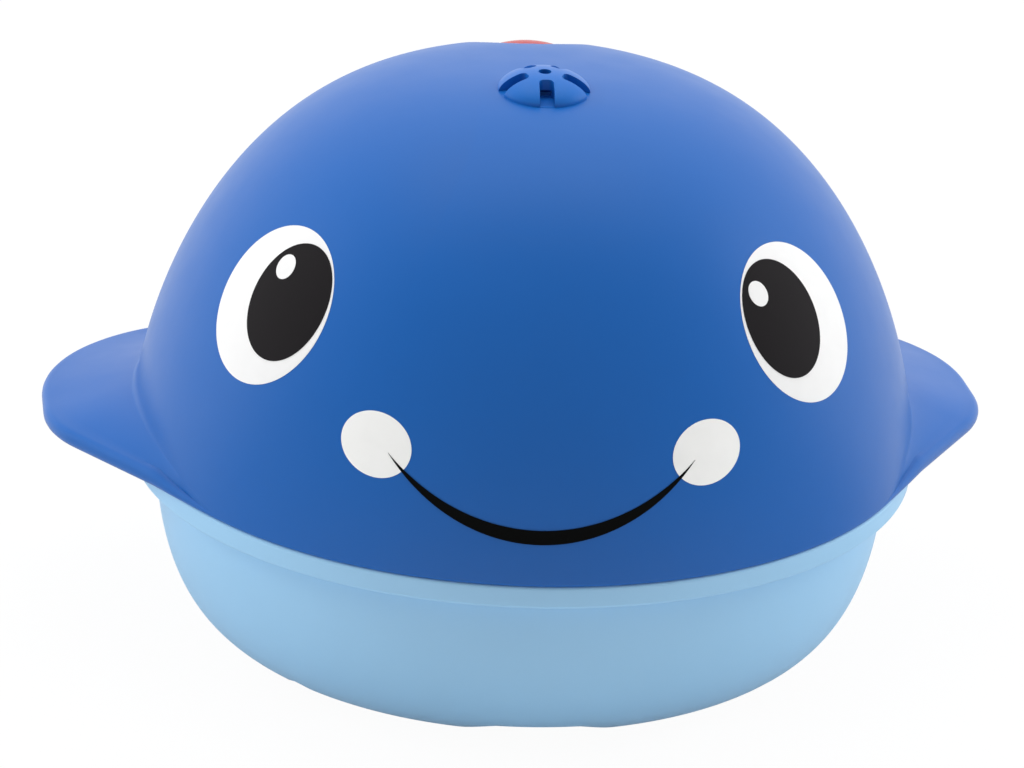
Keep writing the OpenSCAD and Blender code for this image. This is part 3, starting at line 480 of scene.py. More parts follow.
class Wire:
    """A shader socket that Python arithmetic extends with Math nodes."""

    def __init__(self, tree, socket):
        self.tree = tree
        self.socket = socket

    def math(self, operation, first, second):
        """A Math node on two values."""
        return add_node(self.tree, "ShaderNodeMath", {"operation": operation}, {0: first, 1: second})

    def __add__(self, other):
        return self.math("ADD", self, other)

    __radd__ = __add__

    def __sub__(self, other):
        return self.math("SUBTRACT", self, other)

    def __rsub__(self, other):
        return self.math("SUBTRACT", other, self)

    def __mul__(self, other):
        return self.math("MULTIPLY", self, other)

    __rmul__ = __mul__

    def __abs__(self):
        return self.math("ABSOLUTE", self, 0)

    def __gt__(self, other):
        return self.math("GREATER_THAN", self, other)

    def __lt__(self, other):
        return self.math("LESS_THAN", self, other)


def add_node(tree, kind, adjust, inputs, output=0):
    """A node of this type with its settings and its sockets' values or links, as a Wire on an output."""
    node = tree.nodes.new(kind)
    for name, value in adjust.items():
        setattr(node, name, value)
    for name, value in inputs.items():
        if isinstance(value, Wire):
            tree.links.new(value.socket, node.inputs[name])
        else:
            node.inputs[name].default_value = value
    return Wire(tree, node.outputs[output]) if node.outputs else None


def new_material(name):
    """A material without nodes, and its node tree."""
    material = bpy.data.materials.new(name)
    material.use_nodes = True
    material.node_tree.nodes.clear()
    return material, material.node_tree


def finished(material, values):
    """Gives a material its shader with these values or links."""
    surface = add_node(material.node_tree, "ShaderNodeBsdfPrincipled", {}, values)
    add_node(material.node_tree, "ShaderNodeOutputMaterial", {}, {"Surface": surface})
    return material


def object_noise(tree, scale, detail=2, stretch=(1, 1, 1)):
    """Noise on Object coordinates, with features of about one over the scale in metres."""
    place = add_node(tree, "ShaderNodeTexCoord", {}, {}, "Object")
    stretched = add_node(tree, "ShaderNodeMapping", {}, {"Vector": place, "Scale": stretch})
    return add_node(tree, "ShaderNodeTexNoise", {},
                    {"Vector": stretched, "Scale": scale, "Detail": detail})


def shaded(tree, amount, dark, light):
    """A colour between two, by an amount from 0 to 1."""
    return add_node(tree, "ShaderNodeMix", {"data_type": "RGBA"},
                    {"Factor": amount, "A": (*dark, 1), "B": (*light, 1)}, "Result")


def varied(tree, amount, tint, low, high):
    """A tint that varies between two shares of its brightness, by an amount from 0 to 1."""
    return shaded(tree, amount, [c * low for c in tint], [min(c * high, 1) for c in tint])


def uneven(level, noise, spread):
    """A level that a noise spreads to both sides."""
    return level + (noise - 0.5) * spread


def grained(tree, height, strength, distance):
    """A bump normal from a height."""
    return add_node(tree, "ShaderNodeBump", {},
                    {"Height": height, "Strength": strength, "Distance": distance})


def moulded_plastic(name, tint, roughness, gloss=0.5, peel=0.05):
    """Moulded plastic: faint flow shading, uneven gloss and a fine orange peel."""
    material, tree = new_material(name)
    flow = object_noise(tree, scale=22)
    patch = object_noise(tree, scale=160)
    skin = object_noise(tree, scale=1400, detail=3)
    return finished(material, {
        "Base Color": varied(tree, flow, tint, low=0.95, high=1.05),
        "Roughness": uneven(roughness, patch, spread=0.08),
        "Specular IOR Level": gloss,
        "Normal": grained(tree, skin, strength=peel, distance=0.05 * MM),
    })


def rubber(name, tint):
    """Soft rubber: dull, with fine grain and dusty patches."""
    material, tree = new_material(name)
    dust = object_noise(tree, scale=90)
    grain = object_noise(tree, scale=2600, detail=4)
    return finished(material, {
        "Base Color": varied(tree, dust, tint, low=0.85, high=1.15),
        "Roughness": uneven(0.72, grain, spread=0.2),
        "Normal": grained(tree, grain, strength=0.25, distance=0.04 * MM),
    })


def drawn_metal(name, tint, roughness):
    """Drawn or rolled metal with fine lines along z."""
    material, tree = new_material(name)
    lines = object_noise(tree, scale=900, detail=3, stretch=(1, 1, 0.08))
    stain = object_noise(tree, scale=120)
    return finished(material, {
        "Base Color": varied(tree, stain, tint, low=0.86, high=1),
        "Metallic": 1,
        "Roughness": uneven(roughness, lines, spread=0.18),
        "Normal": grained(tree, lines, strength=0.12, distance=0.02 * MM),
    })


def circuit_green(name, tint):
    """Board lacquer with paler copper tracks under it."""
    material, tree = new_material(name)
    place = add_node(tree, "ShaderNodeTexCoord", {}, {}, "Object")
    tracks = add_node(tree, "ShaderNodeTexBrick", {"offset": 0.37},
                      {"Vector": place, "Scale": 260, "Mortar Size": 0.06}, "Fac")
    track_colour = [min(c * 1.7 + 0.02, 1) for c in tint]
    return finished(material, {
        "Base Color": shaded(tree, tracks, tint, track_colour),
        "Roughness": 0.34 + tracks * 0.1,
        "Normal": grained(tree, tracks, strength=0.3, distance=0.03 * MM),
    })


def cell_wrap(name, tint):
    """Battery sleeve: a dark body with a brass-coloured band towards one end of its length."""
    material, tree = new_material(name)
    place = add_node(tree, "ShaderNodeTexCoord", {}, {}, "Object")
    across = add_node(tree, "ShaderNodeSeparateXYZ", {}, {"Vector": place}, "X")
    band_start = 9 * MM
    brass_colour = (0.55, 0.36, 0.12)
    band = across > band_start
    film = object_noise(tree, scale=500)
    return finished(material, {
        "Base Color": shaded(tree, band, tint, brass_colour),
        "Roughness": uneven(0.32, film, spread=0.1),
        "Metallic": 0.35 + band * 0.3,
        "Normal": grained(tree, film, strength=0.06, distance=0.03 * MM),
    })


def printed_ink(name, tint, roughness, gloss):
    """Pad-printed ink: even colour with a faint grain."""
    material, tree = new_material(name)
    cover = object_noise(tree, scale=300)
    grain = object_noise(tree, scale=2200, detail=3)
    return finished(material, {
        "Base Color": varied(tree, cover, tint, low=0.97, high=1.02),
        "Roughness": uneven(roughness, grain, spread=0.08),
        "Specular IOR Level": gloss,
        "Normal": grained(tree, grain, strength=0.04, distance=0.03 * MM),
    })


def finish_of(slot):
    """The material of one of the record's slots, made when it is first asked for."""
    name = slot + "_finish"
    if name in bpy.data.materials:
        return bpy.data.materials[name]
    tints = settings().colours
    recorded = {m["slot"]: m["base_color"] for m in frame["record"]["materials"]}[slot]
    finishes = {
        "dome_plastic": (moulded_plastic, tints.dome, {"roughness": 0.36, "gloss": 0.46}),
        "hull_plastic": (moulded_plastic, tints.hull, {"roughness": 0.42}),
        "rosette_plastic": (moulded_plastic, tints.rosette, {"roughness": 0.34, "gloss": 0.4}),
        "button_plastic": (moulded_plastic, tints.button, {"roughness": 0.28, "gloss": 0.2, "peel": 0.01}),
        "inner_plastic": (moulded_plastic, recorded, {"roughness": 0.5}),
        "dark_plastic": (moulded_plastic, recorded, {"roughness": 0.55}),
        "seal_rubber": (rubber, recorded, {}),
        "hose_rubber": (rubber, recorded, {}),
        "lead_cover": (rubber, recorded, {}),
        "steel": (drawn_metal, recorded, {"roughness": 0.3}),
        "brass": (drawn_metal, recorded, {"roughness": 0.34}),
        "board": (circuit_green, recorded, {}),
        "cell_wrap": (cell_wrap, recorded, {}),
        "white_ink": (printed_ink, tints.white_ink, {"roughness": 0.5, "gloss": 0.2}),
        # The cheeks' ink is paler than the eyes' white, as painted light for the dimmer front of the face.
        "cheek_ink": (printed_ink, tints.cheek_ink, {"roughness": 0.5, "gloss": 0.2}),
        "black_ink": (printed_ink, tints.black_ink, {"roughness": 0.45, "gloss": 0.05}),
    }
    make, tint, look = finishes[slot]
    return make(name, tint, **look)


# Shapes of the pieces

def button_frame():
    """The matrix that takes z = 0 on the button's axis to the dome's surface."""
    y = settings().trim.button_y
    return Matrix.Translation((0, y, SEAM + dome_height(y))) @ Matrix.Rotation(-dome_slope(y), 4, "X")


def sink_dish(piece):
    """Presses the button's dish into the dome's wall, with a soft rim."""
    s, t = settings().shells, settings().trim
    to_world = button_frame()
    to_local = to_world.inverted()
    reach = 0.9 * t.dish_radius
    for vertex in piece.data.vertices:
        p = to_local @ vertex.co
        out = math.hypot(p.x, p.y)
        if out > reach or p.z < -reach:
            continue
        r = math.hypot(vertex.co.x, vertex.co.y)
        depth = dome_height(min(r, s.radius)) + SEAM - vertex.co.z
        inner = depth > 0.3 * s.wall
        dish = t.dish_radius - t.dish_depth - math.sqrt(t.dish_radius ** 2 - out ** 2)
        p.z = soft_least(p.z, dish - (s.wall if inner else 0), t.dish_blend)
        vertex.co = to_world @ p


def dome_body():
    """The dome with its wall, the button's dish and bore, and the rosette's seat."""
    s, t = settings().shells, settings().trim
    outer_steps, inner_steps = 120, 40
    outer = [p for p in dome_line(0, outer_steps) if p[1] > SEAM + 1.2 * s.edge_round]
    inner = dome_line(s.wall, inner_steps)
    edge = arc((s.radius - s.edge_round, SEAM + s.edge_round), s.edge_round, 0, -90, 4)
    piece = turned("dome_shell", outer + edge + inner[::-1], s.turn_steps)
    sink_dish(piece)
    bore = rod(t.button_radius + t.button_gap, -3 * t.button_radius, 2 * t.button_radius, (0, 0), FINE_SIDES)
    bore.data.transform(button_frame())
    combine(piece, bore, "DIFFERENCE")
    seal_lap = 1.2 * MM
    seal_low, seal_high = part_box("rosette_seal")
    stem_radius = (seal_high.x - seal_low.x) / 2 - seal_lap
    combine(piece, rod(stem_radius, SEAM, cad_box[1][2], (0, t.rosette_y)), "DIFFERENCE")
    return piece


def fin_outline():
    """The fin's edge in plan: straight to the front corner, then round to the swept back edge."""
    s, f = settings().shells, settings().fins
    corner, sweep = Vector(f.corner_at), Vector(f.sweep_at)
    root = s.radius * Vector((math.sin(f.front), -math.cos(f.front)))
    away = root - corner
    first = math.atan2(away.y, away.x) + math.acos(f.corner / away.length)
    apart = sweep - corner
    tangent = math.atan2(apart.y, apart.x) - math.acos((f.corner - f.sweep) / apart.length)
    last = 2 * math.pi / 3
    first, tangent, last = (math.degrees(a) for a in (first, tangent, last))
    front_steps, back_steps = 40, 80
    return ([tuple(root)] + arc(corner, f.corner, first, tangent, front_steps)
            + arc(sweep, f.sweep, tangent, last, back_steps))


def fin_reach(turn, outline):
    """Distance of the fin's edge from the body's axis at an angle from the nose."""
    ray = Vector((math.sin(turn), -math.cos(turn)))
    reach = settings().shells.radius
    for a, b in zip(outline, outline[1:]):
        start, run = Vector(a), Vector(b) - Vector(a)
        across = ray.cross(run)
        if across == 0:
            continue
        share = start.cross(ray) / across
        if 0 <= share <= 1:
            reach = max(reach, start.cross(run) / across)
    return reach


def fin_section(turn, outline):
    """The fin's closed section at an angle from the nose, as distances out and heights above the seam."""
    s, f = settings().shells, settings().fins
    reach = fin_reach(turn, outline)
    swell = max(math.sin(math.pi * (turn - f.front) / (f.back - f.front)), 0)
    inside = s.radius - s.wall / 2
    step = 0.05 * MM
    edge_share, fillet_power, root_power = 0.45, 0.7, 0.8
    half = min(f.thickness / 2, edge_share * (reach - inside))
    top = max(f.fillet_rise * swell ** fillet_power, 2 * half + 2 * step)
    root = min(max(f.root_rise * swell ** root_power, 2 * half), top - step)
    contact = Vector((dome_radius(top), top))
    lean = (dome_radius(top - step) - dome_radius(top + step)) / (2 * step)
    corner = Vector((contact.x + lean * (top - root), root))
    edge_top = Vector((max(reach - half, corner.x), 2 * half))
    fillet_start = corner.lerp(edge_top, f.fillet_share)
    points = [Vector(p) for p in arc((reach - half, half), half, -90, 90, 10)]
    plate_steps, fillet_steps = 6, 12
    points += [edge_top.lerp(fillet_start, i / plate_steps) for i in range(1, plate_steps)]
    for i in range(fillet_steps + 1):
        share = i / fillet_steps
        points.append(fillet_start.lerp(corner, share).lerp(corner.lerp(contact, share), share))
    return points + [
        Vector((contact.x - s.wall / 2, contact.y)),
        Vector((dome_radius(top / 2) - s.wall / 2, top / 2)),
        Vector((inside, 0)),
        Vector(((inside + reach - half) / 2, 0)),
    ]


def fin_body():
    """The fin on the +X side."""
    f = settings().fins
    steps = 80
    turns = [f.front + (f.back - f.front) * i / steps for i in range(steps + 1)]
    outline = fin_outline()
    sections = [fin_section(t, outline) for t in turns]
    sides = len(sections[0])

    def place(u, v):
        i = round(u * steps)
        out, up = sections[i][round(v * sides) % sides]
        return out * math.sin(turns[i]), -out * math.cos(turns[i]), SEAM + up

    piece = laid_out("fin", steps, sides, place)
    close_up(piece)
    return piece


def tail_stalk():
    """The tail's stem, flared where it leaves the dome."""
    steps, sides = 24, 32
    start = Vector((0, 55 * MM, SEAM + 14.5 * MM))
    bend = Vector((0, 67 * MM, SEAM + 18 * MM))
    end = Vector((0, 79 * MM, SEAM + 27 * MM))
    across = Vector((1, 0, 0))
    end_half, growth = (5, 3.4), (6.5, 6)
    flare_reach, flare_at, flare_spread = 3, 0.12, 0.22

    def place(u, v):
        centre = start.lerp(bend, u).lerp(bend.lerp(end, u), u)
        run = (bend.lerp(end, u) - start.lerp(bend, u)).normalized()
        up = across.cross(run)
        flare = flare_reach * math.exp(-((u - flare_at) / flare_spread) ** 2)
        half_width, half_height = ((e + g * (1 - u) + flare) * MM for e, g in zip(end_half, growth))
        turn = 2 * math.pi * v
        return centre + across * half_width * math.cos(turn) + up * half_height * math.sin(turn)

    piece = laid_out("tail_stalk", steps, sides, place)
    close_up(piece)
    return piece


def tail_fluke():
    """The two-lobed fluke, as one wing from tip to tip."""
    f = settings().fins
    steps, sides = 64, 32
    front_at, front_sweep = 73.5, 9
    notch, tip_trim = 4.4 * MM, 1.2 * MM
    lobe_at, lobe_spread = 0.4, 0.26
    half_thick, thinning = 4, 2.2
    height, tip_lift = 26.5, 2.5

    def place(u, v):
        across = 2 * u - 1
        x = f.tail_half_width * across
        out = abs(across)
        front = (front_at + front_sweep * out ** 1.25) * MM
        lobe = math.exp(-((out - lobe_at) / lobe_spread) ** 2)
        back = f.tail_tip - notch + notch * lobe - tip_trim * out ** 4
        chord = max(back - front, 0)
        half = (half_thick - thinning * out) * MM * math.sqrt(max(1 - out ** 6, 0))
        turn = 2 * math.pi * v
        y = (front + back) / 2 + chord / 2 * math.cos(turn)
        z = SEAM + (height + tip_lift * out) * MM + half * math.sin(turn)
        return x, y, z

    piece = laid_out("tail_fluke", steps, sides, place)
    close_up(piece)
    return piece


def tail_body():
    """The tail's stem and fluke melted into one smooth form."""
    piece = join([tail_stalk(), tail_fluke()], "tail")
    piece.data.remesh_voxel_size = 0.55 * MM
    pick(piece)
    bpy.ops.object.voxel_remesh()
    modify(piece, "SMOOTH", {"factor": 0.5, "iterations": 14})
    return piece


def press_channel(piece):
    """Hollows the water channel into the hull's underside, with soft edges."""
    s = settings().shells
    radius = (s.channel_half_width ** 2 + s.channel_depth ** 2) / (2 * s.channel_depth)
    soft = 0.5 * MM
    for vertex in piece.data.vertices:
        x, y, z = vertex.co
        r = math.hypot(x, y)
        outer = z < s.floor / 2 or r > s.base_radius + s.floor
        if not outer or z > 3 * s.channel_depth or abs(x) > 2 * s.channel_half_width:
            continue
        fade = min(max((s.channel_end - y) / s.channel_ramp, 0), 1)
        if fade == 0:
            continue
        climb = s.channel_climb * max(s.channel_rise_y - y, 0)
        roof = s.channel_depth + climb - x * x / (2 * radius)
        roof = roof * fade if roof > 0 else roof
        vertex.co.z = -soft_least(-z, -roof, soft)


def hull_profile():
    """The hull's half profile: base, side, ledge, lip, inner wall and floor."""
    s = settings().shells
    ledge_low = SEAM - s.ledge_height
    ledge_radius = s.radius + s.ledge_proud
    base_steps, side_steps, inner_steps = 34, 84, 40
    base = [(s.base_radius * i / base_steps, 0) for i in range(base_steps)]
    side = [p for p in hull_line(0, 0, side_steps) if p[1] < ledge_low - s.ledge_round]
    wall_radius = s.radius - s.hull_inset
    neck = arc((wall_radius + s.ledge_round, ledge_low - s.ledge_round), s.ledge_round, 180, 90, 5)
    low_edge = arc((ledge_radius - s.ledge_round, ledge_low + s.ledge_round), s.ledge_round, -90, 0, 6)
    top_edge = arc((ledge_radius - s.ledge_round, SEAM - s.ledge_round), s.ledge_round, 0, 90, 6)
    lip_radius = s.radius - s.wall - ROOM
    lip_top = SEAM + s.lip_height
    lip = [(lip_radius, SEAM), (lip_radius, lip_top), (lip_radius - s.lip_wall, lip_top)]
    inside = hull_line(s.wall, s.floor, inner_steps)[::-1]
    return base + side + neck + low_edge + top_edge + lip + inside + [(0, s.floor)]


def hull_frame():
    """The door's seat, the battery box and the door screw's boss inside the hull, as one solid."""
    s = settings().shells
    door_low, door_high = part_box("battery_door")
    plates_low, plates_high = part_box("contact_plates")
    gasket_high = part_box("door_gasket")[1]
    screw_low, screw_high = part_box("door_screw")
    lap, wall, seat_wall, boss_radius = 2 * MM, 1.5 * MM, 1.2 * MM, 4.5 * MM
    grip = 0.6 * s.floor
    seat = block((door_low.x - lap, door_low.y - lap, grip),
                 (door_high.x + lap, gasket_high.y + lap, gasket_high.z + seat_wall))
    box = block((plates_low.x - wall, plates_low.y - wall, grip),
                (plates_high.x + wall, plates_high.y + wall, plates_high.z + 2 * wall))
    boss = rod(boss_radius, grip, screw_high.z + lap, (0, (screw_low.y + screw_high.y) / 2))
    return united([seat, box, boss])


def hull_openings():
    """What is cut from the hull: the door's recess, the cells' room and the water intake."""
    door_low, door_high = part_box("battery_door")
    plates_low, plates_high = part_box("contact_plates")
    gasket_low, gasket_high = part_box("door_gasket")
    screw_low, screw_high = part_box("door_screw")
    strainer_low, strainer_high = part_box("intake_strainer")
    ear_y = (screw_low.y + screw_high.y) / 2
    ear_radius = door_high.y - ear_y
    under = -2 * MM
    door_edge, cell_room, flange = 0.6 * MM, 0.4 * MM, 2 * MM
    thread_share = 0.55
    recess = block((door_low.x - ROOM, gasket_low.y - door_edge - ROOM, under),
                   (door_high.x + ROOM, gasket_high.y + door_edge + ROOM, gasket_high.z))
    ear = rod(ear_radius + ROOM, under, gasket_high.z, (0, ear_y))
    neck = block((-ear_radius - ROOM, gasket_high.y, under), (ear_radius + ROOM, ear_y, gasket_high.z))
    cells = block((plates_low.x, plates_low.y - cell_room, under),
                  (plates_high.x, plates_high.y + cell_room, plates_high.z + cell_room))
    thread = rod((screw_high.x - screw_low.x) / 2 * thread_share, under, screw_high.z, (0, ear_y))
    intake = rod((strainer_high.x - strainer_low.x) / 2 - flange, under, strainer_high.z,
                 (0, (strainer_low.y + strainer_high.y) / 2), sides=96)
    return join([united([recess, ear, neck, cells, thread]), intake], "openings")


def screw_places():
    """Places in plan of the four shell screws, from their box."""
    low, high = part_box("shell_screws")
    head = 2.8 * MM
    return [(x, y) for x in (low.x + head, high.x - head) for y in (low.y + head, high.y - head)]


def hull_body():
    """The hull with its ledge, channel, battery box, openings and screw posts."""
    s = settings().shells
    piece = turned("hull_shell", hull_profile(), s.turn_steps)
    press_channel(piece)
    combine(piece, hull_frame(), "UNION")
    combine(piece, hull_openings(), "DIFFERENCE")
    post_radius, well_radius, shank_radius = 4.5 * MM, 3.1 * MM, 1.55 * MM
    post_low = 6.2 * MM
    well_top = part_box("shell_screws")[0].z + 1.4 * MM
    for at in screw_places():
        combine(piece, rod(post_radius, post_low, SEAM - ROOM, at), "UNION")
        well, shank = rod(well_radius, -MM, well_top, at), rod(shank_radius, 0, SEAM + 5 * MM, at)
        combine(piece, united([well, shank]), "DIFFERENCE")
    return piece


def rosette_body():
    """The slotted spray cap with its stem, standing in its sloping seat."""
    t = settings().trim
    steps = 24
    outs = [t.jet + (t.rosette_radius - t.jet) * math.sin(math.pi / 2 * i / steps) for i in range(steps + 1)]
    cap = [(r, t.rosette_rise * max(1 - (r / t.rosette_radius) ** t.rosette_side, 0) ** (1 / t.rosette_crown))
           for r in outs]
    stem_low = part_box("spray_rosette")[0].z - SEAM - dome_height(abs(t.rosette_y))
    hose_wall, seal_wall, nipple_height = 1.5 * MM, 1.4 * MM, 7 * MM
    nipple = -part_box("riser_hose")[0].x - hose_wall
    nipple_top = stem_low + nipple_height
    sink = -2 * t.rosette_sink
    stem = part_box("rosette_seal")[1].x - seal_wall
    skirt = [(t.rosette_radius, sink), (stem, sink), (stem, nipple_top), (nipple, nipple_top),
             (nipple, stem_low)]
    bore = 1.6 * MM
    inside = [(bore, stem_low), (bore, t.rosette_rise / 2), (t.jet, t.rosette_rise / 2), cap[0]]
    piece = turned("spray_cap", cap + skirt + inside, FINE_SIDES)
    floor, over = -0.35 * MM, 2 * t.rosette_rise
    half = t.slot_width / 2
    end, bend = -t.slot_start, 0.35 * t.slot_width
    feed_share, feed_low, feed_high = 0.8, floor + 0.25 * MM, floor + 1.2 * MM
    for i in range(t.slot_count):
        feed = block((-feed_share * half, end - half, feed_low),
                     (feed_share * half, -feed_share * bore, feed_high))
        slot = united([
            block((-half, -2 * t.rosette_radius, floor), (half, end - bend, over)),
            block((bend - half, end - 2 * bend, floor), (half - bend, end, over)),
            rod(bend, floor, over, (bend - half, end - bend), sides=24),
            rod(bend, floor, over, (half - bend, end - bend), sides=24),
            feed,
        ])
        slot.data.transform(Matrix.Rotation(2 * math.pi * i / t.slot_count, 4, "Z"))
        combine(piece, slot, "DIFFERENCE")
    modify(piece, "BEVEL", {"width": 0.28 * MM, "segments": 3, "limit_method": "ANGLE",
                            "angle_limit": math.radians(40), "use_clamp_overlap": True})
    clean(piece)
    tilt = Matrix.Rotation(dome_slope(-t.rosette_y), 4, "X")
    for vertex in piece.data.vertices:
        if vertex.co.z > 2 * sink:
            vertex.co = tilt @ vertex.co
    piece.data.transform(Matrix.Translation((0, t.rosette_y, SEAM + dome_height(-t.rosette_y))))
    return piece


def button_body():
    """The domed push button with the flange and stem that hold it."""
    t = settings().trim
    dish_edge = t.dish_radius - t.dish_depth - math.sqrt(t.dish_radius ** 2 - t.button_radius ** 2)
    rim = dish_edge + t.button_side
    edge = math.degrees(math.asin(t.button_radius / t.button_dome))
    crown = t.button_dome - t.button_dome * math.cos(math.radians(edge))
    edge_drop, edge_turn = 0.2 * MM, 1.5
    top = arc((0, rim + crown - t.button_dome), t.button_dome, 90, 90 - edge + edge_turn, 28)
    side = [(t.button_radius, rim - edge_drop)]
    travel, flange_height, stem_length = 2 * MM, 1.5 * MM, 6.4 * MM
    flange_top = -t.dish_depth - settings().shells.wall - travel
    flange_low = flange_top - flange_height
    stem_low = flange_low - stem_length
    flange_radius, stem_radius = t.button_radius + MM, 2 * MM
    flange = [(t.button_radius, flange_top), (flange_radius, flange_top), (flange_radius, flange_low)]
    stem = [(stem_radius, flange_low), (stem_radius, stem_low), (0, stem_low)]
    piece = turned("button_cap", top + side + flange + stem, FINE_SIDES)
    piece.data.transform(button_frame())
    return piece


# Printed face

def oval(half, at, rings):
    """A flat oval of rings in the xy plane, by its half axes and its centre."""
    deselect()
    radius = half[1]
    bpy.ops.mesh.primitive_circle_add(vertices=96, radius=radius, fill_type="NGON")
    piece = bpy.context.object
    edit_all(piece)
    for _ in range(rings - 1):
        bpy.ops.mesh.inset(thickness=radius / rings)
    bpy.ops.mesh.poke()
    bpy.ops.object.mode_set(mode="OBJECT")
    piece.data.transform(Matrix.Translation((*at, 0)) @ Matrix.Diagonal((half[0] / radius, 1, 1, 1)))
    return piece


def print_on(piece, stand, layers, axis):
    """Lays a flat shape that stands off the dome on it along one axis of its own, as ink some layers high."""
    layer = settings().face.layer
    piece.matrix_world = stand
    modify(piece, "SHRINKWRAP", {
        "target": bpy.data.objects["dome_shell"], "wrap_method": "PROJECT",
        "use_project_y": axis == "Y", "use_project_z": axis == "Z",
        "use_negative_direction": True, "use_positive_direction": True, "offset": layers * layer})
    bpy.ops.object.transform_apply(location=True, rotation=True, scale=True)
    modify(piece, "SOLIDIFY", {"thickness": (layers + 2) * layer, "offset": -1})


def eye_matrix(side):
    """Place of an eye on the dome, with x across, y up and z along the dome's normal."""
    face = settings().face
    out = face.eye_distance
    stand = Matrix.Translation((0, -out, SEAM + dome_height(out))) @ Matrix.Rotation(dome_slope(out), 4, "X")
    return Matrix.Rotation(face.eyes_off_turn + side * face.eye_turn, 4, "Z") @ stand


def oval_pair(name, half, places, stands, rings, layers):
    """Two oval prints on the dome, as one piece."""
    prints = []
    for at, stand in zip(places, stands):
        piece = oval(half, at, rings)
        print_on(piece, stand, layers, "Z")
        prints.append(piece)
    return join(prints, name)


def eye_print(name, half, at, layers, right=0):
    """An oval print on both eyes, placed outwards and up in the eye and moved to the whale's right."""
    places = [(side * at[0] - right, at[1]) for side in SIDES]
    stands = [eye_matrix(side) for side in SIDES]
    return oval_pair(name, half, places, stands, rings=12, layers=layers)


def smile_body():
    """The smile: a crescent between two arcs, laid on the dome from the front."""
    face = settings().face
    steps, rows = 120, 4
    half = face.smile_half_width

    def arc_height(x, sag):
        radius = (half ** 2 + sag ** 2) / (2 * sag)
        return face.smile_end - sag + radius - math.sqrt(radius ** 2 - x ** 2)

    sag_low = face.smile_end - face.smile_low
    sag_top = sag_low - face.smile_width

    def place(u, v):
        x = half * math.sin(math.pi * (u - 0.5))
        low, top = arc_height(x, sag_low), arc_height(x, sag_top)
        return x, -2 * settings().shells.radius, SEAM + low + (top - low) * v

    piece = laid_out("smile_print", steps, rows, place)
    edit_all(piece)
    bpy.ops.mesh.remove_doubles(threshold=TOUCHING)
    bpy.ops.object.mode_set(mode="OBJECT")
    print_on(piece, Matrix.Rotation(face.mouth_off_turn, 4, "Z"), layers=2, axis="Y")
    return piece


# Operators, one for each piece or group of like pieces

class WHALE_OT_upper_shell(bpy.types.Operator):
    """Model the dome with its two fins and its tail"""

    bl_idname = "whale.upper_shell"
    bl_label = "Upper shell"

    def execute(self, context):
        dome = dome_body()
        fin = fin_body()
        fins = join([fin, mirrored(fin)], "fins")
        fins.data.transform(Matrix.Rotation(settings().fins.off_turn, 4, "Z"))
        hand_over(united([dome, fins, tail_body()]), "whale", "dome_plastic", ["upper_shell"])
        return {"FINISHED"}


class WHALE_OT_lower_shell(bpy.types.Operator):
    """Model the hull with its ledge, water channel and battery box"""

    bl_idname = "whale.lower_shell"
    bl_label = "Lower shell"

    def execute(self, context):
        hand_over(hull_body(), "whale", "hull_plastic", ["lower_shell"])
        return {"FINISHED"}


class WHALE_OT_rosette(bpy.types.Operator):
    """Model the slotted spray rosette"""

    bl_idname = "whale.rosette"
    bl_label = "Spray rosette"

    def execute(self, context):
        hand_over(rosette_body(), "whale", "rosette_plastic", ["spray_rosette"])
        return {"FINISHED"}


class WHALE_OT_button(bpy.types.Operator):
    """Model the domed push button"""

    bl_idname = "whale.button"
    bl_label = "Push button"

    def execute(self, context):
        hand_over(button_body(), "button", "button_plastic", ["push_button"])
        return {"FINISHED"}


class WHALE_OT_eyes(bpy.types.Operator):
    """Print the eyes' whites, pupils and glints"""

    bl_idname = "whale.eyes"
    bl_label = "Eyes"

    def execute(self, context):
        face = settings().face
        glint_at = (face.pupil_at[0], face.pupil_at[1] + face.glint_at[1])
        whites = eye_print("eye_white_print", face.eye_half, (0, 0), layers=1)
        pupils = eye_print("pupil_print", face.pupil_half, face.pupil_at, layers=2)
        glints = eye_print("glint_print", face.glint_half, glint_at, layers=3, right=face.glint_at[0])
        hand_over(whites, "whale", "white_ink", ["eye_whites"])
        pupil_ink = printed_ink("pupil_ink", settings().colours.pupil_ink, roughness=0.45, gloss=0.08)
        hand_over(pupils, "whale", "black_ink", ["eye_pupils"], pupil_ink)
        hand_over(glints, "whale", "white_ink", ["eye_glints"])
        return {"FINISHED"}


class WHALE_OT_cheeks(bpy.types.Operator):
    """Print the two cheek spots"""

    bl_idname = "whale.cheeks"
    bl_label = "Cheeks"

    def execute(self, context):
        face = settings().face
        front = -2 * settings().shells.radius
        stand = (Matrix.Rotation(face.mouth_off_turn, 4, "Z") @ Matrix.Translation((0, front, SEAM))
                 @ Matrix.Rotation(math.pi / 2, 4, "X"))
        places = [(side * face.cheek_x, face.cheek_up) for side in SIDES]
        cheeks = oval_pair("cheek_print", face.cheek_half, places, (stand, stand), rings=8, layers=1)
        hand_over(cheeks, "whale", "cheek_ink", ["cheek_spots"])
        return {"FINISHED"}


class WHALE_OT_smile(bpy.types.Operator):
    """Print the smile"""

    bl_idname = "whale.smile"
    bl_label = "Smile"

    def execute(self, context):
        hand_over(smile_body(), "whale", "black_ink", ["smile"])
        return {"FINISHED"}


class WHALE_OT_fittings(bpy.types.Operator):
    """Give the pump, battery, seal and screw solids their finishes"""

    bl_idname = "whale.fittings"
    bl_label = "Fittings"

    def execute(self, context):
        for part in frame["record"]["subparts"]:
            solid = frame["nodes"][part["node"]]
            solid.data.materials.clear()
            solid.data.materials.append(finish_of(part["material_slot"]))
        return {"FINISHED"}


# Stage

# Each softbox's name, power setting, width and depth, and place
SOFTBOXES = (
    ("top_light", "top_watts", (0.9, 0.7), (0, 0.15, 0.95)),
    ("left_light", "side_watts", (0.35, 0.7), (-0.85, 0.1, 0.4)),
    ("right_light", "side_watts", (0.35, 0.7), (0.85, 0.1, 0.4)),
)


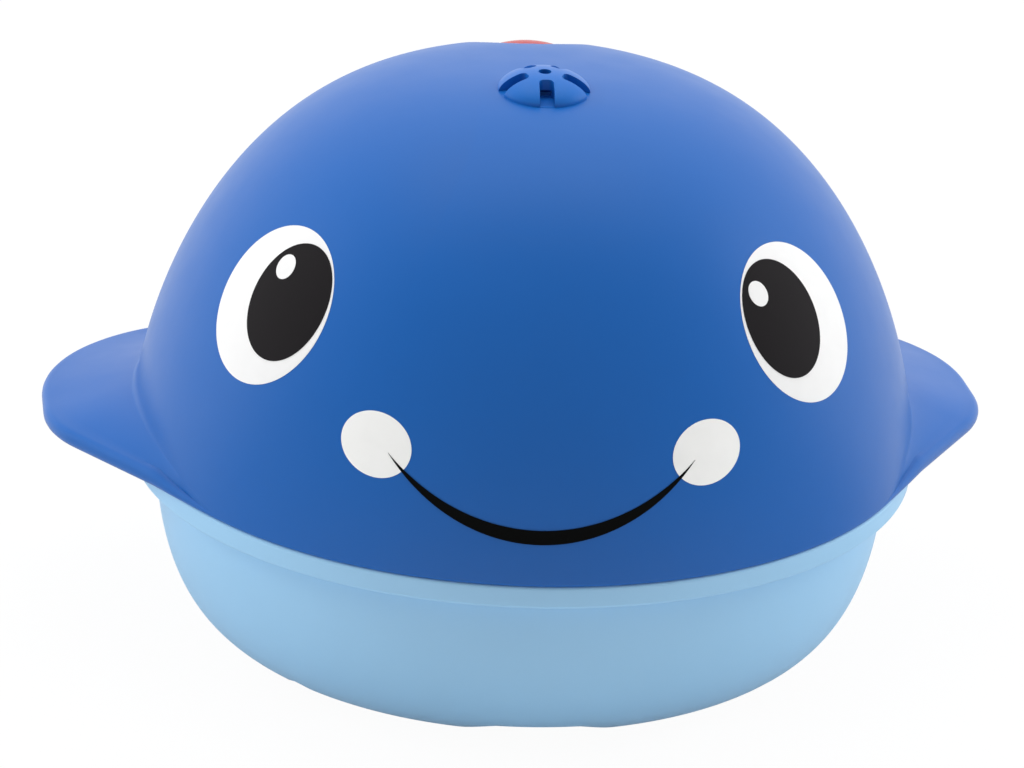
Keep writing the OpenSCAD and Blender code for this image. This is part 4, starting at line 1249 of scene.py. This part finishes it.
def softbox(name, watts, size, at, aim):
    """A rectangular lamp that looks at a point."""
    lamp = bpy.data.lights.new(name, "AREA")
    lamp.shape = "RECTANGLE"
    lamp.size, lamp.size_y = size
    lamp.energy = watts
    holder = bpy.data.objects.new(name, lamp)
    holder.location = at
    holder.rotation_euler = (Vector(aim) - Vector(at)).to_track_quat("-Z", "Y").to_euler()
    holder.visible_glossy = False
    bpy.context.scene.collection.objects.link(holder)


def seen_by(tree, kinds):
    """1 for rays of any of these kinds."""
    rays = [add_node(tree, "ShaderNodeLightPath", {}, {}, kind) for kind in kinds]
    return sum(rays[1:], rays[0]) > 0.5


def eased(tree, value, span, ends):
    """A value that eases from one end to the other while the input crosses a span."""
    return add_node(tree, "ShaderNodeMapRange", {"interpolation_type": "SMOOTHSTEP"},
                    {"Value": value, "From Min": span[0], "From Max": span[1],
                     "To Min": ends[0], "To Max": ends[1]})


def studio_sky():
    """Soft light from all round, dimmer on the camera's side, and a white background."""
    stage = settings().stage
    world = bpy.data.worlds.new("studio")
    bpy.context.scene.world = world
    world.use_nodes = True
    tree = world.node_tree
    tree.nodes.clear()
    place = add_node(tree, "ShaderNodeTexCoord", {}, {}, "Generated")
    along = add_node(tree, "ShaderNodeSeparateXYZ", {}, {"Vector": place}, "Y")
    back = eased(tree, along, (-0.75, 0.35), (stage.front_sky, stage.sky))
    across = add_node(tree, "ShaderNodeSeparateXYZ", {}, {"Vector": place}, "X")
    side_share = 0.5
    mirrored_light = eased(tree, along + abs(across) * side_share, (-0.25, 0.9), (stage.front_mirror, 1))
    mirror = seen_by(tree, ["Is Glossy Ray"])
    seen = seen_by(tree, ["Is Camera Ray", "Is Glossy Ray", "Is Transmission Ray"])
    strength = back * (1 - seen) + (seen - mirror) + mirror * mirrored_light
    shine = add_node(tree, "ShaderNodeBackground", {}, {"Color": WHITE, "Strength": strength})
    add_node(tree, "ShaderNodeOutputWorld", {}, {"Surface": shine})


def floor_finish():
    """A white floor that keeps a soft shadow and is clear from below."""
    material, tree = new_material("pale_floor")
    matte = add_node(tree, "ShaderNodeBsdfPrincipled", {},
                     {"Base Color": (0.95, 0.95, 0.95, 1), "Roughness": 0.9, "Specular IOR Level": 0})
    glow = add_node(tree, "ShaderNodeEmission", {}, {"Color": WHITE, "Strength": 1})
    clear = add_node(tree, "ShaderNodeBsdfTransparent", {}, {})
    seen = seen_by(tree, ["Is Camera Ray", "Is Transmission Ray"])
    under = add_node(tree, "ShaderNodeNewGeometry", {}, {}, "Backfacing")
    glow_share = 0.96
    lit = add_node(tree, "ShaderNodeMixShader", {}, {0: seen * glow_share, 1: matte, 2: glow})
    place = add_node(tree, "ShaderNodeTexCoord", {}, {}, "Object")
    along = add_node(tree, "ShaderNodeSeparateXYZ", {}, {"Vector": place}, "Y")
    mirrored_light = eased(tree, along, (-0.07, 0.1), (settings().stage.front_mirror, 1))
    dim = add_node(tree, "ShaderNodeEmission", {}, {"Color": WHITE, "Strength": mirrored_light})
    shown = add_node(tree, "ShaderNodeMixShader", {}, {0: seen_by(tree, ["Is Glossy Ray"]), 1: lit, 2: dim})
    whole = add_node(tree, "ShaderNodeMixShader", {}, {0: under, 1: shown, 2: clear})
    add_node(tree, "ShaderNodeOutputMaterial", {}, {"Surface": whole})
    return material


class WHALE_OT_stage(bpy.types.Operator):
    """Set up the floor, the soft studio light and the camera"""

    bl_idname = "whale.stage"
    bl_label = "Stage"

    def execute(self, context):
        stage = settings().stage
        scene = context.scene
        scene.view_settings.view_transform = "Standard"
        deselect()
        floor_size = 12
        bpy.ops.mesh.primitive_plane_add(size=floor_size)
        floor = bpy.context.object
        floor.name = "floor"
        floor.data.materials.append(floor_finish())
        studio_sky()
        middle = (0, 0, SEAM)
        for name, power, size, at in SOFTBOXES:
            softbox(name, getattr(stage, power), size, at, middle)
        lens = bpy.data.cameras.new("camera")
        lens.sensor_width = SENSOR
        lens.lens = stage.lens
        lens.shift_x = (IMAGE_SIZE[0] / 2 - stage.centre_px[0]) / IMAGE_SIZE[0]
        lens.shift_y = (stage.centre_px[1] - IMAGE_SIZE[1] / 2) / IMAGE_SIZE[0]
        camera = bpy.data.objects.new("camera", lens)
        away = Vector((math.sin(stage.azimuth) * math.cos(stage.elevation),
                       -math.cos(stage.azimuth) * math.cos(stage.elevation), math.sin(stage.elevation)))
        turn = away.to_track_quat("Z", "Y").to_matrix().to_4x4()
        camera.matrix_world = (Matrix.Translation(Vector(middle) + away * stage.distance) @ turn
                               @ Matrix.Rotation(stage.roll, 4, "Z"))
        scene.collection.objects.link(camera)
        scene.camera = camera
        return {"FINISHED"}


OPERATORS = (
    WHALE_OT_fittings, WHALE_OT_upper_shell, WHALE_OT_lower_shell, WHALE_OT_rosette, WHALE_OT_button,
    WHALE_OT_eyes, WHALE_OT_cheeks, WHALE_OT_smile, WHALE_OT_stage,
)


class WHALE_PT_panel(bpy.types.Panel):
    """Lists the whale's pieces"""

    bl_idname = "WHALE_PT_panel"
    bl_label = "Whale bath sprinkler"
    bl_space_type = "VIEW_3D"
    bl_region_type = "UI"
    bl_category = "Whale"

    def draw(self, context):
        for operator in OPERATORS:
            self.layout.operator(operator.bl_idname)


CLASSES = (
    WhaleShells, WhaleFins, WhaleTrim, WhaleFace, WhaleColours, WhaleStage, WhaleSettings,
    *OPERATORS, WHALE_PT_panel,
)


def register():
    """Registers the classes and the scene's settings."""
    for item in CLASSES:
        bpy.utils.register_class(item)
    bpy.types.Scene.whale = PointerProperty(type=WhaleSettings)


def unregister():
    """Removes the scene's settings and the classes."""
    del bpy.types.Scene.whale
    for item in reversed(CLASSES):
        bpy.utils.unregister_class(item)


def main():
    """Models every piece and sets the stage."""
    register()
    bpy.ops.whale.fittings()
    bpy.ops.whale.upper_shell()
    bpy.ops.whale.lower_shell()
    bpy.ops.whale.rosette()
    bpy.ops.whale.button()
    bpy.ops.whale.eyes()
    bpy.ops.whale.cheeks()
    bpy.ops.whale.smile()
    bpy.ops.whale.stage()


if __name__ == "__main__":
    main()
